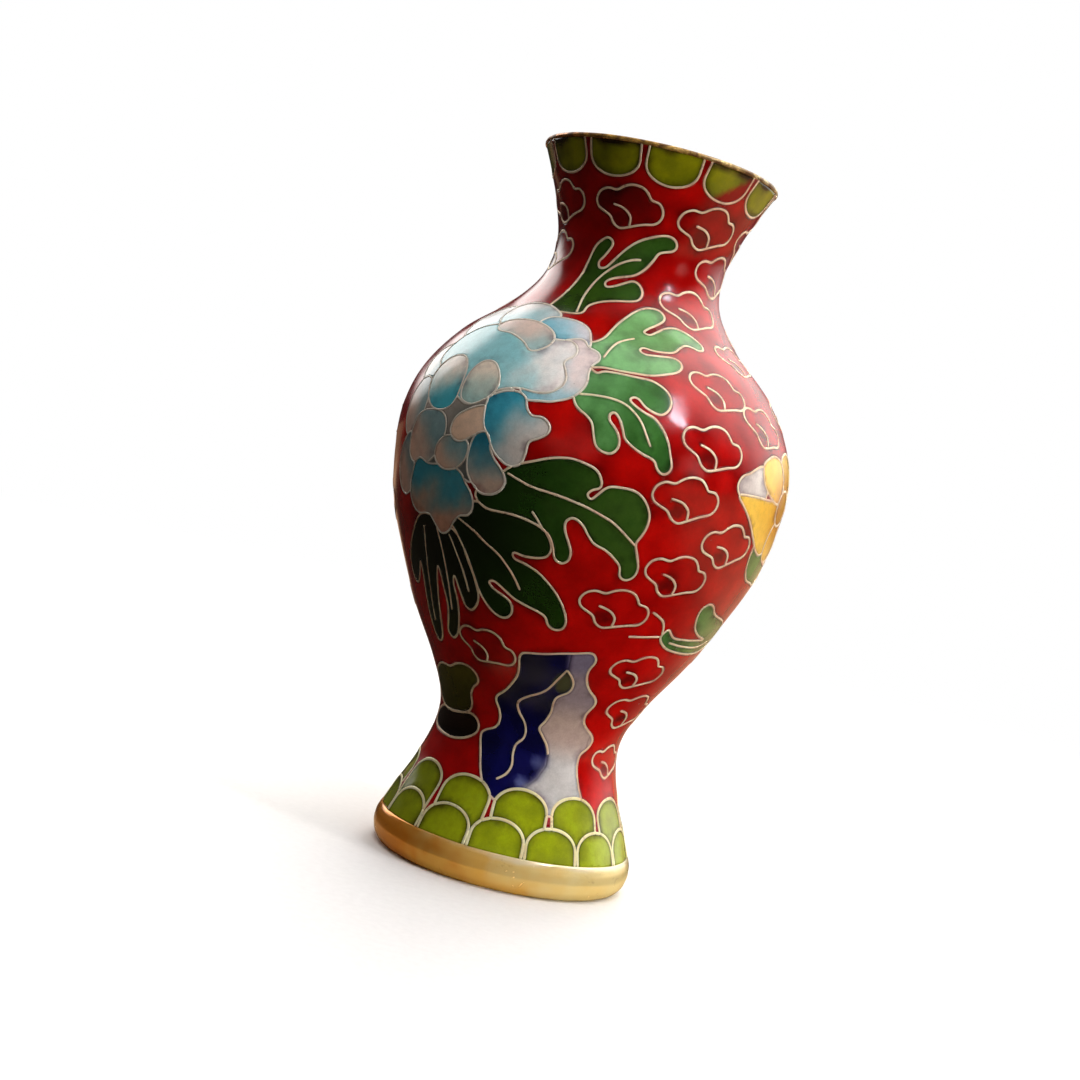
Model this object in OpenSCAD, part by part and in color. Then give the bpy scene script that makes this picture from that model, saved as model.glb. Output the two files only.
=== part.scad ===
// Cloisonne vase: a spun copper body in four brazed sections, a gilt foot ring and lip ring,
// a skin of enamel cells outside, each walled by thin gilt wires, and plain enamel inside.
// Millimetres, +Z up, origin at the centre of the foot's resting face.
// Azimuth 0 looks at the front (-Y) and grows towards +X.

/* [Vase] */
// Height of the whole vase
height = 100; // [90:1:130]
// Diameter of the belly at its widest
belly_d = 55; // [52:0.2:58]
// Height of the gilt foot ring
foot_ring_h = 5; // [4.6:0.1:5.4]
// Height of the gilt ring on the lip
lip_ring_h = 0.6; // [0.4:0.1:0.9]

/* [Wall] */
// Thickness of the outer enamel
enamel_t = 0.9; // [0.6:0.05:1]
// Thickness of the copper
copper_t = 0.8; // [0.6:0.05:0.9]
// Thickness of the enamel inside
lining_t = 0.4; // [0.3:0.05:0.5]
// Height of the stepped laps where the copper sections join
lap = 1.2; // [0.8:0.1:1.6]

/* [Wires] */
// Width of the cell wires
wire_w = 0.36; // [0.28:0.02:0.44]
// How far the polished wires stand above the enamel
wire_proud = 0.05; // [0.02:0.01:0.1]

/* [Scallop borders] */
// Scallops round the lip
lip_scallops = 12; // [10:1:12]
// Scallops in the upper row above the foot
upper_scallops = 12; // [10:1:12]
// Scallops in the lower row above the foot
lower_scallops = 14; // [12:1:14]

/* [Hidden] */
$fn = 96;

// The side of the vase as height and radius, for a vase 100 high and 55 across.
SIDE = [
    [3, 18.4], [5, 17.7], [8.5, 16.3], [13, 14.4], [18, 13.1], [22, 13.4], [27, 15.8], [33, 19.5],
    [40, 23.0], [47, 25.9], [54, 27.3], [60, 27.5], [66, 25.8], [72, 21.7], [77, 16.2],
    [82, 12.6], [87, 11.9], [92, 13.2], [96, 14.8], [100, 16.7], [102, 17.7],
];
scale_z = height / 100;
scale_r = belly_d / 55;

// Where the copper sections meet, and where the layers stop.
lip_z = height - lip_ring_h;
neck_joint_z = 79 * scale_z;
belly_joint_z = 57 * scale_z;
skirt_joint_z = 20 * scale_z;
plate_t = 0.8;
plate_drop = 0.2;
skirt_seat = 1.6;

// Point i of an open run, which repeats its first and last points past its ends.
function at(p, i) = p[max(0, min(len(p) - 1, i))];

// The outer side of the vase, and the same side moved inwards by t along its normal.
side = [for (p = SIDE) [p[0] * scale_z, p[1] * scale_r]];
function slope(i) = let (d = at(side, i + 1) - at(side, i - 1)) d / norm(d);
function inset_side(t) = [for (i = [0 : len(side) - 1])
    [side[i][0] + t * slope(i)[1], side[i][1] - t * slope(i)[0]]];
function run(i) = i == 0 ? 0 : norm(side[i] - side[i - 1]);
arc = [for (i = 0, s = 0; i < len(side); i = i + 1, s = s + (i < len(side) ? run(i) : 0)) s];
z_to_arc = [for (i = [0 : len(side) - 1]) [side[i][0], arc[i]]];
arc_to_z = [for (i = [0 : len(side) - 1]) [arc[i], side[i][0]]];
function radius(z) = lookup(z, side);

// Points [radius, height] of the side moved in by t, between two heights. A point of the side
// that lies nearer than this to either height is left out.
end_gap = 0.05;
function stretch(t, low, high) = let (s = inset_side(t)) concat(
    [[lookup(low, s), low]],
    [for (p = s) if (p[0] > low + end_gap && p[0] < high - end_gap) [p[1], p[0]]],
    [[lookup(high, s), high]]);
function reversed(p) = [for (i = [len(p) - 1 : -1 : 0]) p[i]];

// A turned shell between two depths below the outer side (a negative depth stands proud).
module shell(inner, outer, low, high)
    rotate_extrude() polygon(concat(stretch(outer, low, high), reversed(stretch(inner, low, high))));

// A place is [azimuth, height, size, tilt, flip]. A motif's point [u, v] lies u along the girth and
// v up the side from its place; wrapped() gives it across and up in the plane square to the azimuth.
function turned(p, a) = [p[0] * cos(a) - p[1] * sin(a), p[0] * sin(a) + p[1] * cos(a)];
function wrapped(place, point) = let (
    p = turned(point, place[3]) * place[2],
    z = lookup(lookup(place[1] * scale_z, z_to_arc) + p[1], arc_to_z),
    r = radius(z))
    [r * sin(place[4] * p[0] / r * 180 / PI), z];
function laid(place, points) = [for (p = points) wrapped(place, p)];

// Flat shapes of one motif: its outline, and a thin ribbon along an open line.
module area(place, points)
    polygon(laid(place, points));
function side_step(p, i) = let (d = at(p, i + 1) - at(p, i - 1)) [-d[1], d[0]] / norm(d);
module ribbon(place, points)
    let (p = laid(place, points))
        polygon(concat([for (i = [0 : len(p) - 1]) p[i] + side_step(p, i) * wire_w / 2],
            [for (i = [len(p) - 1 : -1 : 0]) p[i] - side_step(p, i) * wire_w / 2]));

// The flat shape pushed out through the wall at the place's azimuth, from a share of the radius
// at the place to a little past the belly.
start_share = 0.45;
past_belly = 2;
module outwards(place) {
    start = radius(place[1] * scale_z) * start_share;
    rotate([90, 0, place[0]])
        translate([0, 0, start])
            linear_extrude(height = belly_d / 2 + past_belly - start) children();
}

// The part of the enamel skin that the flat shape covers.
module cell(place)
    intersection() {
        shell(enamel_t, 0, foot_ring_h, lip_z);
        outwards(place) children();
    }
module wire(place)
    intersection() {
        shell(enamel_t, -wire_proud, foot_ring_h, lip_z);
        outwards(place) children();
    }

// A group of overlapping outlines, front one first: each shows only where none before it lies.
// An offset by 0 joins flat shapes into one before they are pushed outwards.
module silhouette(place, outlines)
    offset(delta = wire_w / 2) for (o = outlines) area(place, o);
module field(place, outlines, i)
    offset(delta = -wire_w / 2) difference() {
        area(place, outlines[i]);
        for (j = [0 : 1 : i - 1]) area(place, outlines[j]);
    }
module fields(place, outlines, veins)
    difference() {
        union() for (i = [0 : len(outlines) - 1]) field(place, outlines, i);
        for (v = veins) ribbon(place, v);
    }
module walls(place, outlines, veins)
    offset(delta = 0) difference() {
        silhouette(place, outlines);
        fields(place, outlines, veins);
    }

// ---- Motifs -------------------------------------------------------------------------------

// A cloud: five round lobes, with a hook of wire that curls in from the lower edge.
CLOUD = [
    [-4.8, 0.3], [-4.1, 1.6], [-2.0, 2.0], [-0.8, 2.7], [0.8, 3.1], [2.1, 2.6], [3.0, 1.6],
    [4.3, 1.4], [4.9, 0.1], [4.1, -1.3], [1.6, -2.3], [-0.6, -3.0], [-2.2, -1.7], [-4.2, -0.8],
];
CLOUD_HOOK = [[-2.1, 0.0], [-0.5, -0.3], [0.6, -1.2], [0.7, -2.5]];
CLOUDS = [
    [-14, 91.6, 0.98, -3, 1], [38, 91.5, 1.0, 4, 1], [89, 91.7, 0.95, 0, 1], [140, 91.7, 0.98, -4, 1],
    [191, 91.7, 0.95, 3, 1], [243, 91.7, 0.97, 0, 1], [-64, 91.5, 0.95, 3, 1],
    [62, 86, 0.95, 5, 1], [115, 85.5, 0.9, -4, 1], [-72, 85, 0.9, 4, 1], [234, 83, 0.9, 0, 1],
    [37, 80.2, 1.0, 0, 1], [60, 75.2, 0.9, -6, 1], [94, 78.5, 0.9, 5, 1], [-96, 76.5, 0.9, -5, 1],
    [37, 70.2, 0.98, -8, 1], [57, 67.2, 0.97, -12, 1], [33, 62.8, 1.0, -4, 1], [27.5, 55.6, 1.0, 4, 1],
    [47, 51, 0.98, 6, 1], [33, 45.8, 1.0, -2, 1], [18, 40, 1.0, -3, 1], [41, 32, 0.95, 2, 1],
    [57, 26, 1.0, -2, 1], [62, 18.3, 0.75, 0, 1], [-26, 31, 0.9, -14, 1],
    [84, 70, 0.9, 8, 1], [106, 65, 0.95, 0, 1], [109, 51, 0.95, 6, 1], [94, 35, 0.9, 5, 1],
    [101, 24.5, 0.85, 6, 1], [-103, 68, 0.95, -4, 1],
    [-86, 46.5, 0.95, 4, 1], [-112, 44, 0.95, 6, 1], [-94, 34.5, 0.9, -6, 1],
];

// The peony, front petals first.
PEONY = [
    [[-4.0, 0.8], [-3.8, 2.8], [-3.0, 4.3], [-1.9, 4.8], [-0.6, 4.6], [0.6, 3.5], [1.5, 2.0], [1.5, 0.5],
        [0.4, -0.8], [-1.4, -1.7], [-3.4, -1.2]],
    [[-4.4, -2.0], [-4.4, 1.4], [-5.2, 3.6], [-6.8, 4.9], [-9.0, 4.7], [-10.8, 3.3], [-11.6, 1.0],
        [-10.8, -1.4], [-8.8, -3.0], [-6.4, -3.2]],
    [[-5.0, 12.0], [-3.0, 13.2], [-0.4, 13.4], [2.3, 12.6], [4.3, 11.2], [4.9, 9.6], [4.3, 8.2], [2.9, 7.6],
        [1.2, 8.8], [-1.8, 10.0], [-4.6, 10.3]],
    [[1.2, -0.2], [1.6, 0.6], [3.0, 1.3], [5.0, 1.7], [7.2, 1.6], [8.8, 2.0], [9.8, 3.1], [9.8, 4.4],
        [9.1, 5.6], [8.2, 6.9], [8.9, 8.4], [8.2, 9.9], [6.8, 10.7], [5.2, 10.4], [2.0, 10.5],
        [-2.0, 11.0], [-6.0, 11.3], [-9.6, 9.6], [-12.0, 6.6], [-12.0, 3.4], [-6.0, 0.0], [-2.0, -1.8]],
    [[1.0, -0.6], [1.8, 0.3], [3.2, 1.0], [4.9, 1.2], [6.2, 0.6], [6.9, -0.7], [7.9, -1.5], [9.3, -1.4],
        [10.5, -2.2], [10.6, -3.2], [9.6, -4.1], [8.5, -4.8], [8.4, -6.4], [7.9, -7.8], [6.5, -8.3],
        [5.0, -7.7], [3.8, -6.8], [2.8, -5.2], [1.6, -3.8]],
    [[3.9, -2.3], [4.4, -3.4], [3.0, -4.5], [1.5, -4.9], [0.2, -5.8], [-1.2, -6.6], [-2.5, -6.6],
        [-3.6, -5.6], [-3.3, -3.9], [-1.8, -2.6], [0.4, -1.6], [2.5, -1.6]],
    [[2.0, -4.6], [0.8, -5.4], [0.3, -7.2], [0.2, -9.0], [0.6, -10.4], [1.6, -11.6], [3.0, -12.5],
        [4.5, -12.4], [5.8, -11.6], [6.3, -10.3], [5.5, -8.9], [4.2, -7.8], [3.4, -6.6], [3.2, -5.0]],
    [[-4.4, -6.4], [-5.8, -8.0], [-5.6, -9.6], [-3.8, -10.6], [-1.6, -10.2], [-0.2, -8.8], [0.0, -6.8],
        [-1.6, -6.0]],
    [[-9.6, -10.0], [-6.8, -10.4], [-3.6, -10.0], [-1.0, -10.3], [0.4, -11.6], [1.6, -13.0], [2.0, -14.6],
        [1.3, -15.8], [0.0, -16.1], [-1.0, -17.1], [-2.0, -18.6], [-3.4, -19.1], [-4.6, -18.0],
        [-6.0, -16.9], [-8.4, -17.2], [-10.4, -15.8], [-10.9, -13.0]],
    [[-9.0, -3.4], [-11.4, -4.4], [-12.6, -7.0], [-12.2, -9.8], [-9.8, -10.8], [-7.0, -10.2], [-5.4, -8.4],
        [-4.4, -5.6], [-5.6, -3.6]],
    [[-12.6, -6.8], [-15.0, -8.4], [-15.8, -11.4], [-14.6, -14.2], [-12.2, -15.2], [-10.4, -13.6],
        [-10.6, -10.2]],
    [[-11.4, 0.6], [-14.0, 0.8], [-15.8, -1.4], [-16.0, -4.4], [-14.6, -7.0], [-12.4, -7.2], [-10.6, -4.8],
        [-10.4, -1.8]],
    [[-11.6, 6.6], [-14.2, 5.8], [-15.6, 3.4], [-14.8, 0.8], [-12.2, 0.0], [-10.4, 2.4], [-9.6, 5.0]],
    [[5.2, 1.0], [8.6, 0.7], [10.4, 1.2], [11.8, 2.1], [12.5, 3.5], [12.4, 4.8], [11.9, 6.0], [11.7, 7.2],
        [12.0, 8.4], [11.2, 9.6], [9.6, 10.2], [7.6, 11.4], [4.0, 8.0]],
    [[9.6, 10.0], [8.7, 12.1], [7.5, 13.7], [5.8, 14.8], [3.8, 15.2], [1.4, 15.0], [0.6, 13.2],
        [2.0, 11.0], [6.0, 10.0]],
    [[2.4, 15.2], [0.8, 16.8], [-1.6, 17.6], [-4.4, 17.4], [-6.4, 16.0], [-6.8, 13.6], [-5.0, 11.6],
        [0.0, 12.6]],
    [[-6.2, 16.0], [-8.8, 15.8], [-11.0, 14.0], [-12.0, 11.4], [-11.4, 8.6], [-9.0, 9.0], [-5.6, 11.0]],
];
PEONIES = [[-35, 63, 1, 0, 1], [192, 61, 0.98, 0, -1]];

// The yellow flower: its centre and petals, then its white petals.
YELLOW_FLOWER = [
    [[-2.2, 0.4], [-1.4, 2.2], [0.6, 3.0], [2.6, 2.4], [3.4, 0.6], [2.6, -1.2], [0.6, -1.9], [-1.4, -1.2]],
    [[-8.4, 5.4], [-6.8, 6.6], [-4.6, 7.2], [-2.4, 6.6], [-1.2, 4.8], [-1.2, 2.4], [-2.4, 1.0], [-5.4, 1.6],
        [-7.8, 3.0]],
    [[-2.2, 6.6], [-0.6, 7.8], [1.8, 8.1], [4.0, 7.0], [4.6, 4.8], [3.4, 2.2], [0.6, 2.0], [-1.0, 3.6]],
    [[4.4, 6.6], [6.6, 7.0], [8.8, 5.8], [9.6, 3.6], [8.2, 1.4], [5.4, 0.4], [3.0, 1.0], [4.4, 4.0]],
    [[9.0, 1.4], [10.2, -0.8], [9.4, -3.4], [7.2, -5.0], [4.6, -4.6], [3.0, -2.4], [2.8, 0.2], [5.6, 0.8]],
    [[5.0, -4.8], [3.6, -6.6], [1.0, -7.2], [-1.4, -6.2], [-2.0, -3.8], [-0.4, -1.2], [2.8, -1.6]],
    [[-1.8, -6.0], [-4.4, -5.8], [-7.0, -4.0], [-9.6, -1.8], [-11.6, -0.4], [-13.2, 0.9], [-10.4, 1.2],
        [-6.6, 1.2], [-2.0, 1.0], [-0.6, -2.0]],
];
WHITE_PETALS = [
    [[-13.8, 2.0], [-13.2, 3.3], [-11.6, 4.0], [-10.0, 4.9], [-8.2, 5.3], [-7.2, 3.2], [-7.0, 1.2],
        [-10.0, 0.8], [-12.8, 0.8]],
    [[9.0, 5.4], [11.0, 5.0], [12.8, 3.6], [14.2, 1.8], [13.8, 0.4], [11.8, -0.4], [9.8, 0.0], [8.6, 2.0]],
];
YELLOW_FLOWERS = [[72, 57, 1, 0, 1]];
FLOWER_OUTLINES = concat(YELLOW_FLOWER, WHITE_PETALS);

// Leaves. Each kind is a list of outlines, front one first, with the veins drawn on them.
TALL_LEAF = [
    [[-9.5, -9.5], [-8.3, -6.5], [-7.2, -4.2], [-6.4, -2.0], [-6.0, 0.0], [-5.6, 1.7], [-4.9, 2.8],
        [-3.8, 3.4], [-3.0, 2.6], [-3.8, 0.9], [-4.4, 0.0], [-4.1, -0.8], [-3.2, -0.6], [-2.4, 0.5],
        [-1.4, 1.9], [0.0, 3.4], [1.8, 4.5], [3.8, 5.2], [5.1, 4.9], [5.5, 4.1], [5.0, 3.4], [3.4, 2.8],
        [2.8, 1.6], [2.0, 0.2], [0.9, -0.9], [-0.6, -1.5], [-2.0, -2.1], [-2.7, -2.8], [-2.4, -3.5],
        [-1.4, -3.2], [-0.2, -2.4], [0.9, -1.8], [1.9, -2.2], [2.5, -3.3], [2.3, -4.5], [1.3, -5.1],
        [-0.6, -5.6], [-2.6, -6.4], [-4.0, -7.6], [-4.8, -9.4]],
];
TALL_LEAF_VEINS = [
    [[-5.2, -9.2], [-5.1, -6.6], [-4.7, -4.5], [-4.0, -2.8], [-3.1, -1.4], [-1.6, 0.1], [0.0, 1.0],
        [1.2, 1.3]],
];
LIGHT_LEAF = [
    [[-7.4, 4.3], [-6.2, 4.7], [-5.0, 5.9], [-4.2, 7.6], [-3.3, 9.6], [-2.2, 11.4], [-1.0, 13.0], [0.4, 14.0],
        [1.9, 14.1], [2.8, 13.4], [2.8, 12.4], [1.8, 11.2], [0.8, 10.2], [0.2, 9.2], [1.0, 8.9],
        [2.0, 9.9], [3.0, 11.0], [4.3, 11.6], [5.8, 11.4], [7.4, 10.8], [8.8, 9.8], [9.1, 8.9],
        [8.3, 8.4], [7.0, 8.7], [6.0, 8.6], [5.2, 7.6], [4.6, 6.6], [3.4, 6.0], [1.6, 5.7], [0.2, 5.8],
        [-0.2, 5.1], [0.6, 4.6], [2.2, 4.9], [4.2, 5.3], [5.3, 4.8], [5.6, 3.8], [5.0, 2.8],
        [3.5, 2.0], [1.8, 1.3], [0.0, 1.0], [-2.5, 0.8], [-4.8, 0.7], [-6.8, 0.3], [-7.6, 2.0]],
    [[-7.0, 0.4], [-5.4, -0.4], [-4.2, 0.2], [0.0, 0.4], [1.8, 0.4], [3.1, -0.1], [4.1, -0.9], [4.6, -2.0],
        [4.5, -3.2], [3.8, -4.1], [2.8, -4.2], [1.4, -3.7], [0.4, -2.8], [-0.3, -2.7], [-0.7, -3.2],
        [0.2, -3.9], [1.6, -4.5], [2.8, -4.9], [4.0, -6.0], [5.0, -7.4], [5.7, -9.0], [6.2, -10.4],
        [5.9, -11.3], [5.1, -11.6], [4.3, -11.1], [3.7, -10.2], [2.0, -9.7], [0.6, -9.1],
        [-0.5, -8.3], [-1.0, -7.2], [-1.6, -6.1], [-2.3, -5.4], [-2.9, -5.7], [-2.8, -6.5],
        [-1.9, -7.4], [-1.2, -8.5], [-1.1, -9.7], [-1.8, -10.6], [-3.0, -10.6], [-3.9, -10.0],
        [-4.4, -8.8], [-4.9, -7.4], [-5.8, -6.6], [-6.9, -6.0], [-7.7, -4.8], [-8.0, -2.0]],
];
LIGHT_LEAF_VEINS = [
    [[-4.8, 2.3], [-4.0, 4.2], [-2.9, 5.9], [-1.0, 7.3]],
    [[-7.2, -4.0], [-5.2, -3.7], [-3.2, -3.6], [-1.4, -3.9], [0.0, -4.7], [1.2, -5.9], [2.1, -7.3],
        [2.9, -8.6]],
];
DARK_LEAF = [
    [[-6.5, 7.6], [-5.0, 8.5], [-3.4, 9.2], [-1.2, 10.1], [1.2, 10.6], [3.2, 10.4], [4.8, 9.8], [5.6, 8.6],
        [5.5, 7.8], [4.7, 7.4], [4.2, 6.7], [4.8, 6.2], [5.6, 7.2], [6.6, 8.2], [8.4, 8.5], [10.2, 8.4],
        [11.6, 7.5], [12.5, 6.0], [12.5, 4.4], [12.0, 3.0], [11.5, 1.9], [12.1, 0.4], [12.5, -1.2],
        [12.1, -2.5], [11.1, -3.1], [10.3, -2.7], [10.1, -1.5], [9.2, -0.6], [7.8, 0.3], [6.4, 0.7],
        [5.4, 1.6], [4.4, 2.8], [3.2, 3.4], [2.3, 2.8], [2.4, 1.6], [3.0, 0.4], [3.6, -0.9], [3.5, -2.2],
        [2.6, -2.8], [1.7, -2.3], [1.3, -1.0], [0.6, 0.3], [-0.6, 1.2], [-2.4, 1.7], [-5.0, 2.0],
        [-8.5, 2.0], [-10.5, 3.5], [-8.5, 5.5]],
    [[-9.0, 2.6], [-5.0, 2.4], [-2.4, 2.2], [-0.7, 1.4], [0.5, 0.3], [1.1, -1.1], [0.8, -2.3], [-0.4, -2.9],
        [-2.2, -3.1], [-3.6, -2.9], [-3.4, -3.7], [-1.8, -4.1], [-0.1, -4.8], [1.4, -5.9], [2.8, -7.3],
        [3.9, -9.0], [4.5, -10.8], [4.2, -12.0], [3.2, -12.4], [2.3, -11.9], [1.8, -10.9], [0.6, -10.3],
        [-1.0, -9.9], [-2.6, -9.4], [-4.2, -8.4], [-5.6, -7.6], [-6.4, -7.9], [-5.8, -8.6], [-4.4, -9.2],
        [-3.1, -9.9], [-2.6, -11.2], [-3.1, -12.3], [-4.2, -12.5], [-5.6, -11.8], [-6.8, -10.7],
        [-7.8, -9.3], [-8.7, -7.6], [-9.8, -5.7], [-11.0, -3.9], [-12.4, -2.2], [-14.0, -0.4],
        [-12.5, 2.0]],
];
DARK_LEAF_VEINS = [
    [[-6.4, 7.0], [-3.4, 6.1], [-0.4, 5.8], [2.4, 5.5], [5.2, 4.9], [7.8, 4.1], [9.8, 2.9], [11.6, 1.6]],
    [[-2.2, 3.0], [-1.3, 2.1], [-0.4, 1.0]],
    [[-12.4, -0.2], [-9.8, -1.3], [-7.8, -2.5], [-5.8, -3.6], [-4.2, -5.0], [-3.0, -6.4], [-2.0, -7.9]],
];
FEATHER_LEAF = [
    [[2.0, 15.5], [5.4, 14.0], [6.6, 11.0], [7.4, 8.4], [7.6, 6.2], [6.9, 4.6], [5.9, 3.8], [5.0, 4.4],
        [4.5, 6.2], [3.9, 8.2], [3.5, 7.0], [3.8, 5.0], [3.6, 2.6], [3.0, 0.4], [2.1, -1.0], [1.2, -1.3],
        [0.7, -0.4], [1.2, 1.2], [1.7, 3.4], [1.4, 6.0], [0.8, 9.0], [0.2, 6.8], [-0.2, 4.0],
        [-0.5, 1.0], [-1.0, -1.4], [-1.9, -2.6], [-2.8, -2.4], [-3.3, 0.0], [-3.4, 3.5], [-3.3, 6.6],
        [-3.6, 8.8], [-4.3, 7.0], [-5.3, 5.4], [-6.6, 5.6], [-7.2, 7.4], [-6.5, 10.0], [-4.5, 13.0],
        [-2.0, 15.5]],
];
FEATHER_LEAF_VEINS = [
    [[3.4, 14.6], [4.6, 12.0], [5.6, 9.0], [6.1, 6.4]],
    [[1.4, 14.6], [2.2, 11.0], [2.5, 7.0], [2.4, 3.0]],
    [[-1.4, 14.0], [-1.7, 9.0], [-1.9, 4.0], [-2.1, 0.4]],
];
FORKED_LEAF = [
    [[-5.3, 0.8], [-4.2, 0.1], [-3.0, -0.4], [-0.5, -0.4], [2.0, -0.3], [4.4, -0.1], [1.8, 0.5],
        [-0.2, 1.5], [-1.3, 2.7], [-1.9, 4.0], [-1.7, 5.1], [-0.8, 5.6], [0.4, 5.3], [1.6, 4.4],
        [3.4, 3.8], [6.0, 3.4], [8.4, 2.6], [9.4, 0.6], [8.4, -1.4], [5.6, -2.4], [2.5, -2.7],
        [-0.5, -2.6], [-3.2, -2.2], [-5.0, -1.3], [-5.8, -0.3]],
];
FORKED_LEAF_VEINS = [[[-3.6, -1.2], [0.0, -1.5], [4.0, -1.4], [7.0, -0.4]]];
ROUND_LEAF = [
    [[-5.0, 4.0], [-5.6, 2.0], [-5.4, 0.0], [-4.4, -1.8], [-2.6, -2.9], [0.0, -3.3], [2.8, -3.6],
        [5.2, -2.8], [6.8, -1.0], [7.8, 1.2], [7.4, 3.4], [4.0, 4.6], [0.0, 4.8]],
];
ROUND_LEAF_VEINS = [[[-3.0, 3.4], [-1.0, 1.0], [2.0, -0.4], [5.4, 0.0]]];
// The wire stem of the forked leaf, and the straight wire under it.
STEMS = [
    [[-9.6, 3.0], [-8.4, 2.5], [-7.2, 1.9], [-6.4, 1.0], [-5.9, 0.0]],
    [[-10.4, -1.3], [-8.2, -0.9], [-6.0, -0.5]],
];

TALL_LEAVES = [[-5, 84, 1, 0, 1], [172, 83, 1, 0, -1]];
LIGHT_LEAVES = [[8, 69, 1, 0, 1], [150, 67, 1, 0, -1]];
DARK_LEAVES = [[-8, 47, 1, 0, 1], [166, 45, 1, 0, -1]];
FEATHER_LEAVES = [[-48, 32, 1, 0, 1], [205, 30, 1, 0, -1]];
FORKED_LEAVES = [[55, 38, 1, 0, 1], [-104, 57, 0.9, 0, -1]];
ROUND_LEAVES = [[72, 50, 1, 0, 1]];

// The rock, its pale face, and the wires drawn on it.
ROCK = [
    [-4.9, 10.0], [-4.7, 10.8], [-4.0, 11.1], [-2.0, 11.5], [0.0, 12.2], [2.0, 12.7], [4.0, 13.3],
    [4.8, 12.7], [4.9, 11.8], [4.5, 10.8], [4.4, 9.6], [4.8, 8.2], [5.6, 7.0], [6.6, 6.0], [6.9, 5.0],
    [6.4, 3.9], [6.0, 2.9], [6.1, 1.8], [6.8, 0.9], [8.0, 0.0], [8.5, -0.9], [8.0, -2.0], [7.0, -2.9],
    [6.8, -4.2], [7.1, -5.6], [7.8, -7.4], [8.6, -9.4], [6.0, -11.5], [-2.0, -11.5], [-5.0, -10.0],
    [-6.2, -8.0], [-6.9, -5.5], [-7.4, -3.2], [-6.8, -2.4], [-5.6, -1.7], [-5.2, -0.6], [-5.6, 0.8],
    [-6.4, 2.1], [-6.4, 3.0], [-5.6, 4.0], [-4.9, 5.5], [-4.5, 7.0], [-4.6, 8.5],
];
ROCK_PALE_FACE = [
    [1.7, 9.8], [2.6, 8.6], [3.0, 7.4], [2.7, 6.2], [1.4, 5.1], [1.1, 4.0], [1.2, 2.5], [0.8, 1.0],
    [0.2, -0.3], [0.9, -1.3], [1.7, -2.3], [2.2, -3.6], [2.3, -5.2], [1.5, -7.0], [0.2, -8.4],
    [0.0, -12.0], [10.0, -12.0], [10.0, 14.5], [1.4, 14.5], [1.5, 12.0],
];
ROCK_WIRES = [
    [[-3.9, -8.3], [-2.7, -7.3], [-2.2, -6.0], [-2.4, -4.5], [-2.3, -3.2], [-1.5, -2.2], [-1.4, -1.1],
        [-1.9, 0.1], [-2.8, 1.2], [-3.4, 2.4], [-3.2, 3.3], [-2.2, 4.2], [-0.9, 5.1], [0.0, 6.2],
        [0.8, 8.0], [1.6, 9.8]],
    [[1.6, 9.8], [2.6, 8.6], [3.0, 7.4], [2.7, 6.2], [1.4, 5.1], [1.1, 4.0], [1.2, 2.5], [0.8, 1.0],
        [0.2, -0.3], [0.9, -1.3], [1.7, -2.3], [2.2, -3.6]],
];
ROCKS = [[5, 22, 1, 0, 1], [160, 22, 1, 0, -1]];

// The bush and the dark soil under it.
BUSH = [
    [-6.0, -7.6], [-3.4, -6.4], [-1.2, -6.4], [0.4, -5.6], [2.0, -5.2], [3.4, -5.4], [4.3, -6.4],
    [4.2, -7.4], [3.2, -8.4], [2.6, -9.6], [2.6, -11.0], [2.0, -12.2], [0.0, -12.8], [-2.4, -13.0],
    [-4.6, -12.6], [-6.4, -11.2], [-7.0, -9.2],
];
SOIL = [
    [-7.0, -14.6], [-5.4, -13.2], [-2.6, -12.6], [0.6, -12.6], [2.6, -12.4], [3.8, -13.2], [3.9, -14.6],
    [2.4, -15.8], [0.0, -16.4], [-3.0, -16.3], [-5.6, -15.8],
];
BUSHES = [[-48, 32, 1, 0, 1], [225, 32, 1, 0, -1]];

// One scallop, as wide as 1 and as deep as 1, with its round end at the bottom.
SCALLOP = concat([for (a = [180 : 22.5 : 360]) [0.5 * cos(a), -0.45 + 0.55 * sin(a)]], [[0.5, 1], [-0.5, 1]]);
lip_scallop = [7.3, 5.0];
foot_scallop = [7.3, 5.2];
lip_phase = 5.5;
upper_phase = 5.5;
lower_phase = -2.5;
lip_top_z = 99.6;
upper_top_z = 13.8;
lower_top_z = 9.6;
function stretched(p, w, h) = [for (q = p) [q[0] * w, q[1] * h]];
function ring(count, phase, z) = [for (i = [0 : count - 1]) [phase + i * 360 / count, z, 1, 0, 1]];
LIP_SCALLOP = stretched(SCALLOP, lip_scallop[0], lip_scallop[1]);
FOOT_SCALLOP = stretched(SCALLOP, foot_scallop[0], -foot_scallop[1]);
lip_places = ring(lip_scallops, lip_phase, lip_top_z);
upper_places = ring(upper_scallops, upper_phase, upper_top_z - foot_scallop[1]);
lower_places = ring(lower_scallops, lower_phase, lower_top_z - foot_scallop[1]);

// Everything that lies in front of another motif or of the ground, as cutting bodies.
module cutters(places, outlines)
    for (p = places) outwards(p) silhouette(p, outlines);
module foot_cutters() {
    cutters(upper_places, [FOOT_SCALLOP]);
    cutters(lower_places, [FOOT_SCALLOP]);
}
module flower_cutters() {
    cutters(PEONIES, PEONY);
    cutters(YELLOW_FLOWERS, FLOWER_OUTLINES);
}
module leaf_cutters() {
    cutters(TALL_LEAVES, TALL_LEAF);
    cutters(LIGHT_LEAVES, LIGHT_LEAF);
    cutters(DARK_LEAVES, DARK_LEAF);
    cutters(FEATHER_LEAVES, FEATHER_LEAF);
    cutters(FORKED_LEAVES, FORKED_LEAF);
    cutters(ROUND_LEAVES, ROUND_LEAF);
}

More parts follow.
